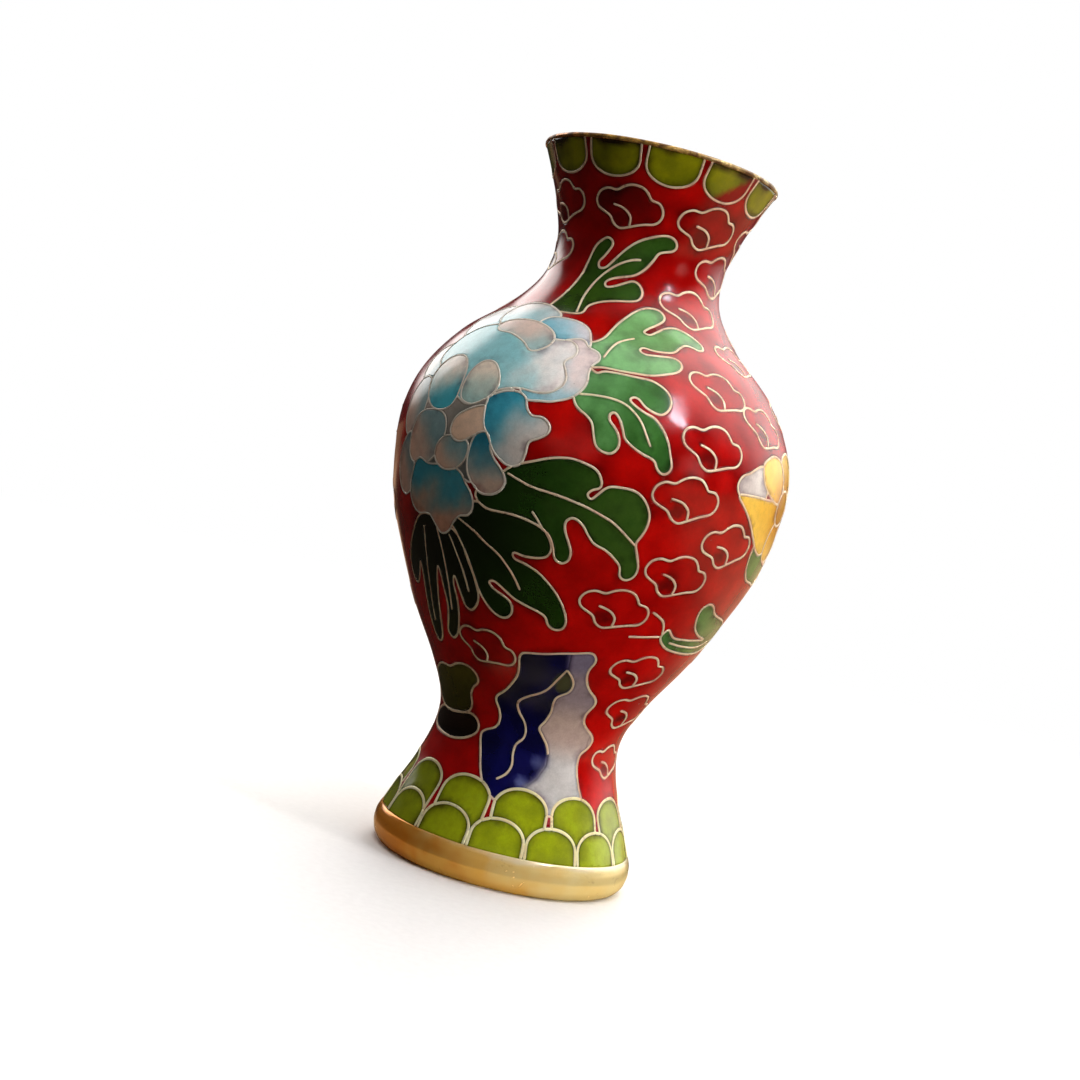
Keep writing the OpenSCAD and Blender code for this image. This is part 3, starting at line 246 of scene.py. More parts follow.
BUSH = [
    [-6, -7.6], [-3.4, -6.4], [-1.2, -6.4], [0.4, -5.6], [2, -5.2], [3.4, -5.4], [4.3, -6.4], [4.2, -7.4],
    [3.2, -8.4], [2.6, -9.6], [2.6, -11], [2, -12.2], [0, -12.8], [-2.4, -13], [-4.6, -12.6],
    [-6.4, -11.2], [-7, -9.2],
]
SOIL = [
    [-7, -14.6], [-5.4, -13.2], [-2.6, -12.6], [0.6, -12.6], [2.6, -12.4], [3.8, -13.2], [3.9, -14.6],
    [2.4, -15.8], [0, -16.4], [-3, -16.3], [-5.6, -15.8],
]
BUSHES = [[-48, 32, 1, 0, 1], [225, 32, 1, 0, -1]]
CLOUDS = [
    [-14, 91.6, 0.98, -3, 1], [38, 91.5, 1, 4, 1], [89, 91.7, 0.95, 0, 1], [140, 91.7, 0.98, -4, 1],
    [191, 91.7, 0.95, 3, 1], [243, 91.7, 0.97, 0, 1], [-64, 91.5, 0.95, 3, 1], [62, 86, 0.95, 5, 1],
    [115, 85.5, 0.9, -4, 1], [-72, 85, 0.9, 4, 1], [234, 83, 0.9, 0, 1], [37, 80.2, 1, 0, 1],
    [60, 75.2, 0.9, -6, 1], [94, 78.5, 0.9, 5, 1], [-96, 76.5, 0.9, -5, 1], [37, 70.2, 0.98, -8, 1],
    [57, 67.2, 0.97, -12, 1], [33, 62.8, 1, -4, 1], [27.5, 55.6, 1, 4, 1], [47, 51, 0.98, 6, 1],
    [33, 45.8, 1, -2, 1], [18, 40, 1, -3, 1], [41, 32, 0.95, 2, 1], [57, 26, 1, -2, 1],
    [62, 18.3, 0.75, 0, 1], [-26, 31, 0.9, -14, 1], [84, 70, 0.9, 8, 1], [106, 65, 0.95, 0, 1],
    [109, 51, 0.95, 6, 1], [94, 35, 0.9, 5, 1], [101, 24.5, 0.85, 6, 1], [-103, 68, 0.95, -4, 1],
    [-86, 46.5, 0.95, 4, 1], [-112, 44, 0.95, 6, 1], [-94, 34.5, 0.9, -6, 1],
]
CLOUD_HOOK = [[-2.1, 0], [-0.5, -0.3], [0.6, -1.2], [0.7, -2.5]]
# A cloud: five round lobes.
CLOUD = [
    [-4.8, 0.3], [-4.4, 1.4], [-3.3, 2], [-2, 1.95], [-0.9, 2.7], [0.4, 3.1], [1.7, 2.9], [2.5, 2.2],
    [3, 1.6], [4.1, 1.5], [4.8, 0.7], [4.8, -0.4], [4.1, -1.3], [2.6, -1.8], [0.9, -2.5], [-0.5, -3],
    [-1.6, -2.5], [-2.3, -1.6], [-3.5, -1.1], [-4.4, -0.6],
]

# The rings of scallops: [how many, first azimuth, height, width, depth up (or down)].
LIP_RING = [12, 5.5, 99.6, 7.3, 5.0]
UPPER_RING = [12, 5.5, 13.8 - 5.2, 7.3, -5.2]
LOWER_RING = [14, -2.5, 9.6 - 5.2, 7.3, -5.2]

# ---- The turned side ----

LOW_Z = 5.0
HIGH_Z = 99.4
SIDE_STEPS = 12


def smooth(points, steps, closed):
    """A smooth curve through the points, with steps points from each to the next."""
    p = np.array(points, float)
    if closed:
        a, b, c, d = np.roll(p, 1, 0), p, np.roll(p, -1, 0), np.roll(p, -2, 0)
    else:
        e = np.vstack([p[:1], p, p[-1:]])
        a, b, c, d = e[:-3], e[1:-2], e[2:-1], e[3:]
    t = (np.arange(steps) / steps)[None, :, None]
    a, b, c, d = (q[:, None, :] for q in (a, b, c, d))
    run = 0.5 * (2 * b + (c - a) * t + (2 * a - 5 * b + 4 * c - d) * t ** 2
                 + (3 * b - a - 3 * c + d) * t ** 3)
    run = run.reshape(-1, 2)
    return run if closed else np.vstack([run, p[-1:]])


side = smooth(SIDE, SIDE_STEPS, False)
SIDE_Z, SIDE_R = side.T
ARC = np.concatenate([[0], np.cumsum(np.linalg.norm(np.diff(side, axis=0), axis=1))])
NORMAL_R = np.gradient(SIDE_Z, ARC)
NORMAL_Z = -np.gradient(SIDE_R, ARC)


def arc_at(z):
    return np.interp(z, SIDE_Z, ARC)


def radius_at(s):
    return np.interp(s, ARC, SIDE_R)


LOW_S, HIGH_S = arc_at([LOW_Z, HIGH_Z])


def on_side(x, s, lift=0.0):
    """Points in metres at azimuth x (radians) and arc s (mm), lifted off the side by lift (mm)."""
    r = radius_at(s) + lift * np.interp(s, ARC, NORMAL_R)
    z = np.interp(s, ARC, SIDE_Z) + lift * np.interp(s, ARC, NORMAL_Z)
    return np.stack([r * np.sin(x), -r * np.cos(x), z], -1) * MM


def normal_on_side(x, s):
    out = np.interp(s, ARC, NORMAL_R)
    n = np.stack([out * np.sin(x), -out * np.cos(x), np.interp(s, ARC, NORMAL_Z)], -1)
    return n / np.linalg.norm(n, axis=-1, keepdims=True)


def laid(place, points):
    """A motif's points (u along the girth, v up the side) as azimuth in radians and arc."""
    azimuth, z, size, tilt, flip = place
    p = np.asarray(points, float) * size
    c, s = math.cos(math.radians(tilt)), math.sin(math.radians(tilt))
    arc = arc_at(z) + p[:, 0] * s + p[:, 1] * c
    return np.stack([math.radians(azimuth) + flip * (p[:, 0] * c - p[:, 1] * s) / radius_at(arc), arc], -1)


def unlaid(place, x, s):
    """The other way round: where azimuth x and arc s lie in a motif's own u and v."""
    azimuth, z, size, tilt, flip = place
    turn = (x - math.radians(azimuth) + math.pi) % (2 * math.pi) - math.pi
    u, v = flip * turn * radius_at(s), s - arc_at(z)
    c, s_ = math.cos(math.radians(tilt)), math.sin(math.radians(tilt))
    return (u * c + v * s_) / size, (v * c - u * s_) / size


# ---- Cells: what lies where on the side, front one first ----

OUTLINE_STEPS = 6
ARCH_POINTS = 25


def scallop(ring):
    """A scallop's outline: a round end, and straight sides that run on under its neighbours."""
    width, depth = ring[3:]
    arch = [[0.5 * math.cos(a), -0.45 + 0.55 * math.sin(a)]
            for a in np.linspace(math.pi, 2 * math.pi, ARCH_POINTS)]
    return [[[x * width, y * depth] for x, y in arch + [[0.5, 1.0], [-0.5, 1.0]]]]


def ring_places(ring):
    count, first, z = ring[:3]
    return [[first + i * 360 / count, z, 1, 0, 1] for i in range(count)]


# Each kind of cell: its places, outlines, lines drawn inside, enamel node and wire node.
MOTIFS = {
    "lower": (
        ring_places(LOWER_RING), scallop(LOWER_RING), [], "lower_scallop_enamel", "lower_scallop_wires",
    ),
    "upper": (
        ring_places(UPPER_RING), scallop(UPPER_RING), [], "upper_scallop_enamel", "upper_scallop_wires",
    ),
    "lip": (ring_places(LIP_RING), scallop(LIP_RING), [], "lip_scallop_enamel", "lip_scallop_wires"),
    "peony": (PEONIES, PEONY, [], "peony_enamel", "peony_wires"),
    "flower": (
        YELLOW_FLOWERS, YELLOW_FLOWER + WHITE_PETALS, [], "yellow_petal_enamel", "yellow_flower_wires",
    ),
    "tall_leaf": (TALL_LEAVES, TALL_LEAF, TALL_LEAF_VEINS, "dark_leaf_enamel", "leaf_wires"),
    "light_leaf": (LIGHT_LEAVES, LIGHT_LEAF, LIGHT_LEAF_VEINS, "light_leaf_enamel", "leaf_wires"),
    "dark_leaf": (DARK_LEAVES, DARK_LEAF, DARK_LEAF_VEINS, "dark_leaf_enamel", "leaf_wires"),
    "round_leaf": (ROUND_LEAVES, ROUND_LEAF, ROUND_LEAF_VEINS, "light_leaf_enamel", "leaf_wires"),
    "feather_leaf": (FEATHER_LEAVES, FEATHER_LEAF, FEATHER_LEAF_VEINS, "dark_leaf_enamel", "leaf_wires"),
    "forked_leaf": (FORKED_LEAVES, FORKED_LEAF, FORKED_LEAF_VEINS, "light_leaf_enamel", "leaf_wires"),
    "rock": (ROCKS, [ROCK], ROCK_WIRES, "rock_blue_enamel", "rock_wires"),
    "bush": (BUSHES, [BUSH, SOIL], [], "bush_enamel", "bush_wires"),
    "cloud": (CLOUDS, [CLOUD], [CLOUD_HOOK], "ground_enamel", "cloud_wires"),
}

cells = []
for kind, (places, outlines, _, enamel_name, wire_name) in MOTIFS.items():
    for place in places:
        for index, outline in enumerate(outlines):
            if kind not in ("lower", "upper", "lip"):
                outline = smooth(outline, OUTLINE_STEPS, True)
            cells.append({"kind": kind, "place": place, "index": index, "points": laid(place, outline),
                          "enamel": enamel_name, "wire": wire_name})
GROUND = len(cells)


def enamel_node(number, pale):
    if number == GROUND:
        return "ground_enamel"
    cell = cells[number]
    if cell["kind"] == "flower" and cell["index"] >= len(YELLOW_FLOWER):
        return "white_petal_enamel"
    if cell["kind"] == "bush" and cell["index"] == 1:
        return "soil_enamel"
    if cell["kind"] == "rock" and pale:
        return "rock_white_enamel"
    return cell["enamel"]


def inside(points, x, s):
    """Which of the points (x, s) lie inside a closed outline."""
    hit = np.zeros(len(x), bool)
    for (x0, s0), (x1, s1) in zip(points, np.roll(points, -1, 0)):
        if s0 != s1:
            hit ^= ((s0 > s) != (s1 > s)) & (x < (x1 - x0) * (s - s0) / (s1 - s0) + x0)
    return hit


def top_cell(x, s):
    """The number of the front cell at each point, or GROUND."""
    found = np.full(len(x), GROUND)
    for number in range(GROUND - 1, -1, -1):
        points = cells[number]["points"]
        middle = points[:, 0].mean()
        near = middle + (x - middle + math.pi) % (2 * math.pi) - math.pi
        found[inside(points, near, s)] = number
    return found


# ---- One triangulation of the whole side ----

# Spacing of the points on outlines, up the seam, round the ends and on the open sheet.
OUTLINE_STEP = 0.32
SEAM_STEP = 0.45
END_POINTS = 360
GRID = 0.6
# How far beside an outline its first row of points lies, and how far each row keeps from any outline.
RIM_OFFSET = 0.3
KEEP_CLEAR = (0.9 * RIM_OFFSET, 1.8 * RIM_OFFSET, 2.5 * RIM_OFFSET)
# The flat sheet's millimetres to a radian, and how far in from its edges (radians, mm) free points stay.
FLAT = 20.0
SEAM_MARGIN = 0.008
END_MARGIN = 0.15


def spaced(points, step):
    """A closed run in flat millimetres, with points about step apart."""
    out = []
    for p, q in zip(points, np.roll(points, -1, 0)):
        n = max(1, round(np.linalg.norm((q - p) * [radius_at(p[1]), 1]) / step))
        out += [p + (q - p) * k / n for k in range(n)]
    return np.array(out)


def tree_of(places):
    tree = kdtree.KDTree(len(places))
    for i, p in enumerate(places):
        tree.insert(p, i)
    tree.balance()
    return tree


def beside(run):
    """Points on both sides of an outline: one row near it, and one sparser row further off."""
    ahead = np.roll(run, -1, 0) - np.roll(run, 1, 0)
    ahead[:, 0] *= radius_at(run[:, 1])
    length = np.linalg.norm(ahead, axis=1, keepdims=True)
    across = np.stack([-ahead[:, 1], ahead[:, 0]], -1) / np.maximum(length, 1e-9)
    across[:, 0] /= radius_at(run[:, 1])
    near = [run + across * sign * RIM_OFFSET for sign in (1, -1)]
    far = [run[::2] + across[::2] * sign * 2 * RIM_OFFSET for sign in (1, -1)]
    return np.vstack(near), np.vstack(far)


def triangulate():
    points, faces = [], []

    def add_face(run):
        start = len(points)
        p = np.array(run)
        turns = np.sum(p[:, 0] * np.roll(p[:, 1], -1) - p[:, 1] * np.roll(p[:, 0], -1))
        points.extend(run if turns > 0 else run[::-1])
        faces.append(list(range(start, len(points))))

    # The rectangle that the side unrolls to, with matching points on both edges of the seam.
    up = np.arange(LOW_S, HIGH_S, SEAM_STEP)
    across = np.linspace(-math.pi, math.pi, END_POINTS + 1)
    border = [(x, LOW_S) for x in across[:-1]] + [(math.pi, s) for s in up]
    border += [(x, HIGH_S) for x in across[:0:-1]]
    border += [(-math.pi, HIGH_S)]
    border += [(-math.pi, s) for s in up[:0:-1]]
    add_face([(x * FLAT, s) for x, s in border])
    kinds, runs = ["side"], []
    outlines = [("pale", laid(place, ROCK_PALE_FACE)) for place in ROCKS]
    outlines += [(number, cell["points"]) for number, cell in enumerate(cells)]
    for kind, outline in outlines:
        run = spaced(outline, OUTLINE_STEP)
        for k in (-1, 0, 1):
            moved = run + [2 * math.pi * k, 0]
            if moved[:, 0].max() > -math.pi and moved[:, 0].min() < math.pi:
                add_face([(x * FLAT, s) for x, s in moved])
                kinds.append(kind)
                runs.append(moved)

    # Free points, kept clear of every outline.
    lines = np.vstack(runs)
    tree = tree_of(on_side(lines[:, 0], lines[:, 1]))
    near, far = zip(*map(beside, runs))
    rows = []
    for j, s in enumerate(np.arange(LOW_S + GRID / 2, HIGH_S - GRID / 3, GRID)):
        count = int(2 * math.pi * radius_at(s) / GRID)
        steps = np.arange(count) + 0.5 * (j % 2) + 0.25
        rows.append(np.stack([-math.pi + 2 * math.pi * steps / count, np.full(count, s)], -1))
    for group, clearance in zip((near, far, rows), KEEP_CLEAR):
        x, s = np.vstack(group).T
        free = (abs(x) < math.pi - SEAM_MARGIN) & (s > LOW_S + END_MARGIN) & (s < HIGH_S - END_MARGIN)
        for p, at in zip(np.vstack(group)[free], on_side(x[free], s[free])):
            if tree.find(at)[2] > clearance * MM:
                points.append((p[0] * FLAT, p[1]))
    vertices, _, found, _, _, owners = geometry.delaunay_2d_cdt(
        [Vector(p) for p in points], [], faces, 0, 1e-6, True)
    kept, cell_numbers, pale = [], [], []
    for triangle, owner in zip(found, owners):
        if 0 not in owner:
            continue
        names = [kinds[o] for o in owner]
        kept.append(triangle)
        cell_numbers.append(min([n for n in names if isinstance(n, int)], default=GROUND))
        pale.append("pale" in names)
    flat = np.array([(v[0] / FLAT, v[1]) for v in vertices])
    return flat, np.array(kept), np.array(cell_numbers), np.array(pale)


sheet, triangles, cell_of, pale_of = triangulate()
sheet_z = np.interp(sheet[:, 1], ARC, SIDE_Z)

# ---- Wires: every line where two cells meet, and the lines drawn inside cells ----

WIRE_WIDTH = 0.31
WIRE_PROUD = 0.055
WIRE_DEPTH = 0.25
WIRE_STEP = 0.22
SCALLOP_WIRE_SHARE = 1.3
# Across the wire (share of its width) and up from the enamel (share of its height; below 0 in depths).
WIRE_SECTION = [
    (-0.5, -1.0), (-0.5, 0.15), (-0.42, 0.68), (-0.2, 1.0),
    (0.2, 1.0), (0.42, 0.68), (0.5, 0.15), (0.5, -1.0),
]
SHORTEST_WIRE = 0.3
VEIN_STEPS = 8


def boundary_lines():
    """Lines between different cells, each as (wire node, points)."""
    beside_edge = {}
    for triangle, cell in zip(triangles.tolist(), cell_of.tolist()):
        for i, j in zip(triangle, triangle[1:] + triangle[:1]):
            beside_edge.setdefault((min(i, j), max(i, j)), []).append(cell)
    owner_of, links = {}, {}
    for (i, j), found in beside_edge.items():
        if len(found) == 2 and found[0] != found[1]:
            owner_of[(i, j)] = cells[min(found)]["wire"]
            links.setdefault(i, []).append(j)
            links.setdefault(j, []).append(i)
    used, lines = set(), []

    def key(i, j):
        return (min(i, j), max(i, j))

    def ends_at(i):
        """Whether a wire stops here: where three or more lines meet, or the wire's node changes."""
        return len(links[i]) != 2 or len({owner_of[key(i, j)] for j in links[i]}) == 2

    def walk(start, then):
        run = [start, then]
        used.add(key(start, then))
        while not ends_at(run[-1]) and run[-1] != start:
            onward = [j for j in links[run[-1]] if j != run[-2]]
            if not onward or key(run[-1], onward[0]) in used:
                break
            used.add(key(run[-1], onward[0]))
            run.append(onward[0])
        lines.append((owner_of[key(start, then)], sheet[run]))

    # First the wires with ends, then the closed loops that are left.
    for starts in ([i for i in sorted(links) if ends_at(i)], sorted(links)):
        for i in starts:
            for j in sorted(links[i]):
                if key(i, j) not in used:
                    walk(i, j)
    return lines


def kind_at(number):
    return None if number == GROUND else cells[number]["kind"]


def drawn_lines():
    """Veins, hooks and stems, kept only where their own motif (or for stems the ground) shows."""
    groups = [(kind, places, drawn, wires) for kind, (places, _, drawn, _, wires) in MOTIFS.items()]
    groups.append((None, FORKED_LEAVES, STEMS, "leaf_wires"))
    lines = []
    for kind, places, drawn, wires in groups:
        for run in [laid(place, smooth(points, VEIN_STEPS, False)) for place in places for points in drawn]:
            shown = [kind_at(number) == kind for number in top_cell(*run.T)]
            part = []
            for point, show in zip(run.tolist() + [None], shown + [False]):
                if show:
                    part.append(point)
                    continue
                if len(part) > 3:
                    lines.append((wires, np.array(part)))
                part = []
    return lines


def even_run(points, step):
    """An open run resampled at even steps, and eased so that it bends like a wire."""
    p = points.copy()
    for _ in range(2):
        p[1:-1] = 0.5 * p[1:-1] + 0.25 * (p[:-2] + p[2:])
    metric = np.diff(p, axis=0) * np.stack([radius_at(p[:-1, 1]), np.ones(len(p) - 1)], -1)
    along = np.concatenate([[0], np.cumsum(np.linalg.norm(metric, axis=1))])
    if along[-1] < SHORTEST_WIRE:
        return None
    t = np.linspace(0, along[-1], max(3, int(round(along[-1] / step)) + 1))
    return np.stack([np.interp(t, along, p[:, 0]), np.interp(t, along, p[:, 1])], -1)


def wobble(place, scale, seed):
    """Smooth noise from -1 to 1 at a point given in mm."""
    return noise.noise(Vector(place) * scale + Vector((seed, 2 * seed, 3 * seed)))


def ramp(low, high, value):
    """A smooth step from 0 where value is low to 1 where it is high."""
    t = np.clip((value - low) / (high - low), 0, 1)
    return t * t * (3 - 2 * t)


def wire_mesh(lines, broad):
    vertices, faces = [], []
    size = len(WIRE_SECTION)
    for run in lines:
        p = even_run(run, WIRE_STEP)
        if p is None:
            continue
        closed = np.linalg.norm((p[0] - p[-1]) * [FLAT, 1]) < 0.02
        if closed:
            p = p[:-1]
        at = on_side(p[:, 0], p[:, 1]) / MM
        up = normal_on_side(p[:, 0], p[:, 1])
        along = np.roll(at, -1, 0) - np.roll(at, 1, 0) if closed else np.gradient(at, axis=0)
        along /= np.linalg.norm(along, axis=1, keepdims=True)
        across = np.cross(up, along)
        start, rings = len(vertices), len(p)
        for i, spot in enumerate(at):
            # Hand-bent wire: uneven in width, height and course, narrower at its ends and far to the left.
            wide = WIRE_WIDTH * broad * (1 + 0.14 * wobble(spot, 0.45, 3))
            high = WIRE_PROUD * (1 + 0.35 * wobble(spot, 0.35, 5))
            centre = spot + across[i] * 0.05 * wobble(spot, 0.4, 8)
            if not closed and i in (0, rings - 1):
                wide *= 0.75
            wide *= 1 - 0.25 * float(ramp(-12, -18, spot[0]))
            for a, h in WIRE_SECTION:
                lift = h * (high if h > 0 else WIRE_DEPTH)
                vertices.append((centre + across[i] * wide * a + up[i] * lift) * MM)
        for i in range(rings if closed else rings - 1):
            a, b = start + i * size, start + (i + 1) % rings * size
            for k in range(size):
                m = (k + 1) % size
                faces.append((a + k, a + m, b + m, b + k))
        if not closed:
            faces.append(tuple(range(start, start + size))[::-1])
            faces.append(tuple(range(len(vertices) - size, len(vertices))))
    return vertices, faces


def new_piece(name, vertices, faces, node, material):
    mesh = bpy.data.meshes.new(name)
    mesh.from_pydata([tuple(v) for v in vertices], [], faces)
    mesh.update()
    mesh.shade_smooth()
    piece = bpy.data.objects.new(name, mesh)
    bpy.context.scene.collection.objects.link(piece)
    mesh.materials.append(material)
    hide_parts(node)
    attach(piece, "root")
    return piece


all_lines = boundary_lines() + drawn_lines()

# ---- Enamel: colour and height of every point ----

EDGE_STEP = 0.12
ENAMEL_THICK = 0.3
DIP = 0.032
SWELL = 0.02

even_runs = [even_run(run, EDGE_STEP) for _, run in all_lines]
wire_tree = tree_of(np.vstack([on_side(*run.T) for run in even_runs if run is not None]))
flat_at = on_side(sheet[:, 0], sheet[:, 1])
edge = np.array([wire_tree.find(p)[2] for p in flat_at]) / MM


def noise_field(scale, seed):
    shift = Vector((seed, 1.7 * seed, 0.6 * seed))
    return np.array([noise.noise(Vector(p) * scale + shift) for p in flat_at / MM])


cloudy = noise_field(0.09, 11)
patches = noise_field(0.33, 23)
fine = noise_field(1.1, 37)
# Each cell dips towards the wires round it, and the whole skin is a little uneven.
height = -DIP * (1 - np.exp(-(edge / 0.8) ** 2)) + SWELL * cloudy * ramp(0.2, 2.0, edge)
raised_at = on_side(sheet[:, 0], sheet[:, 1], height)


def rgb(r, g, b):
    return np.array([r, g, b], float) / 255


def blend(a, b, t):
    t = np.clip(t, 0, 1)[:, None]
    return a * (1 - t) + b * t


# Peony petals, in the order of PEONY: base point, tip point, colour at the base and at the tip. The petals
# on the left (rows 7 to 12 and 16) have painted light: their colours are lighter, where the lamps light the
# left little.
PETAL_SHADES = [
    [(-1.5, -1.5), (-2, 4.6), (170, 206, 200), (250, 234, 214)],
    [(-6.5, -3), (-8.5, 3.5), (70, 174, 192), (244, 232, 218)],
    [(0.5, 7.5), (0, 13), (170, 200, 198), (236, 210, 196)],
    [(-0.5, 4), (8.5, 8), (150, 212, 218), (252, 246, 242)],
    [(2, -1.5), (9.5, -5), (62, 160, 186), (210, 204, 198)],
    [(-3, -5), (3.5, -2.5), (238, 204, 176), (244, 212, 186)],
    [(1.8, -5.5), (3.6, -12.2), (46, 132, 158), (208, 182, 164)],
    [(-1, -7), (-5.2, -9.6), (128, 168, 174), (214, 180, 158)],
    [(-3, -10.5), (-3.6, -18.8), (56, 146, 166), (208, 158, 132)],
    [(-6, -5), (-12, -9.5), (130, 160, 164), (222, 180, 158)],
    [(-11, -8.5), (-15, -13), (128, 150, 152), (212, 172, 152)],
    [(-11, -2), (-15.5, -4), (140, 166, 168), (224, 186, 168)],
    [(-10.5, 1.5), (-14.5, 5), (124, 176, 182), (226, 206, 192)],
    [(5.5, 1.5), (11.5, 7.5), (140, 200, 216), (240, 224, 220)],
    [(3, 10.5), (6.5, 15), (110, 186, 206), (224, 222, 226)],
    [(-1.5, 11.5), (-3, 17.5), (146, 204, 212), (234, 230, 226)],
    [(-7, 9), (-11, 14.5), (130, 184, 196), (220, 216, 210)],
    [(0, -9), (-6, 0), (104, 108, 104), (170, 160, 150)],
]
# Other cells: base point, tip point and the colours there, by kind and outline number.
CELL_SHADES = {
    ("flower", 0): [(-2, 0), (3, 1), (206, 140, 40), (228, 170, 60)],
    ("tall_leaf", 0): [(-7, -8), (4, 4), (48, 76, 16), (52, 90, 28)],
    ("light_leaf", 0): [(-7, 2), (8, 10), (124, 186, 118), (116, 174, 104)],
    ("light_leaf", 1): [(-7, -1), (5, -9), (96, 156, 90), (56, 108, 44)],
    ("dark_leaf", 0): [(-8, 4), (12, 3), (24, 54, 10), (56, 88, 28)],
    ("dark_leaf", 1): [(-10, 0), (4, -11), (20, 38, 8), (34, 64, 14)],
    ("feather_leaf", 0): [(0, 13), (0, 0), (22, 28, 10), (44, 48, 20)],
    ("round_leaf", 0): [(-4, -3), (4, 4), (96, 140, 70), (130, 160, 88)],
    ("forked_leaf", 0): [(-5, 0), (9, 1), (84, 136, 66), (124, 156, 86)],
    ("bush", 0): [(0, -13), (-2, -6), (62, 62, 14), (92, 88, 22)],
    ("bush", 1): [(-2, -16), (-2, -13), (22, 14, 10), (34, 22, 14)],
}
RED = rgb(192, 8, 4)
DEEP_RED = rgb(142, 0, 0)
PAINTED_LIGHT_RED = rgb(226, 10, 4)
HOOK_RED = rgb(92, 4, 4)
OLIVE = rgb(148, 162, 18)
PAINTED_LIGHT_OLIVE = rgb(176, 192, 66)
DARK_OLIVE = rgb(84, 88, 6)
LIP_OLIVE = rgb(142, 146, 12)
LIP_DARK = rgb(44, 30, 6)
NAVY = rgb(9, 9, 74)
BLACK_BLUE = rgb(6, 6, 44)
CLOUDY_BLUE = rgb(130, 142, 190)
LOOP_OLIVE = rgb(70, 72, 40)
WHITE = rgb(232, 226, 218)


def distance_to_run(points, u, v):
    best = np.full(len(u), np.inf)
    for (u0, v0), (u1, v1) in zip(points, points[1:]):
        du, dv = u1 - u0, v1 - v0
        t = np.clip(((u - u0) * du + (v - v0) * dv) / (du * du + dv * dv), 0, 1)
        best = np.minimum(best, np.hypot(u - u0 - t * du, v - v0 - t * dv))
    return best


def rock_tint(u, v, at):
    """Navy with cloudy spots and an olive loop, and a pale face that turns from grey to violet."""
    closed = ROCK_PALE_FACE + ROCK_PALE_FACE[:1]
    gap = distance_to_run(closed, u, v) * np.where(inside(np.array(ROCK_PALE_FACE), u, v), 1, -1)
    # The two colours run into each other where no wire parts them, at the top and at the bottom.
    open_end = ramp(9.0, 10.4, v) + ramp(-3.2, -4.4, v)
    pale_share = ramp(-1, 1, (gap + 0.5 * open_end * patches[at]) / (0.08 + 0.8 * open_end))
    pale = blend(rgb(196, 194, 192), rgb(190, 168, 158), ramp(-5, -1, v))
    pale = blend(pale, rgb(150, 134, 142), ramp(1, 6, v))
    pale = blend(pale, rgb(128, 118, 140), ramp(8, 11, v))
    blue = blend(NAVY, BLACK_BLUE, 0.35 + 1.1 * patches[at] + 0.5 * ramp(1, 6, v))
    for u0, v0, size, share in ((1.0, -4.9, 1.3, 0.5), (-0.6, -8.0, 1.3, 0.7)):
        blue = blend(blue, CLOUDY_BLUE, share * ramp(1.0, 0.2, np.hypot(u - u0, v - v0) / size))
    blue = blend(blue, LOOP_OLIVE, 0.9 * ramp(1.5, 1.0, np.hypot(u - 1.6, (v - 7.6) * 0.7)))
    return blend(blue, pale, pale_share)


# The lip scallop that red glaze has run into.
RED_RUN_AZIMUTH = 35.5


def scallop_tint(kind, place, u, v, at):
    if kind != "lip":
        # Painted light: the foot scallops are painted paler round the right side (+X), where the lamps
        # light them more.
        middle = blend(OLIVE, PAINTED_LIGHT_OLIVE, ramp(0.1, 0.9, np.sin(sheet[at, 0] - 0.3)))
        return blend(DARK_OLIVE, middle, ramp(-0.1, 0.8, edge[at]) - 0.1 + 0.4 * patches[at])
    tint = blend(DARK_OLIVE, LIP_OLIVE, ramp(-0.1, 0.9, edge[at]) - 0.15 + 0.7 * patches[at])
    # Painted shade: darker in a patchy band along the top, under the lip ring.
    tint = blend(tint, LIP_DARK, ramp(0.9, 0.1, HIGH_S - sheet[at, 1] + 1.0 * patches[at]))
    if abs(place[0] - RED_RUN_AZIMUTH) < 1:
        tint = blend(tint, DEEP_RED, ramp(-0.3, 0.3, (u - v * 1.1) * 0.5 - 2.1))
    return tint


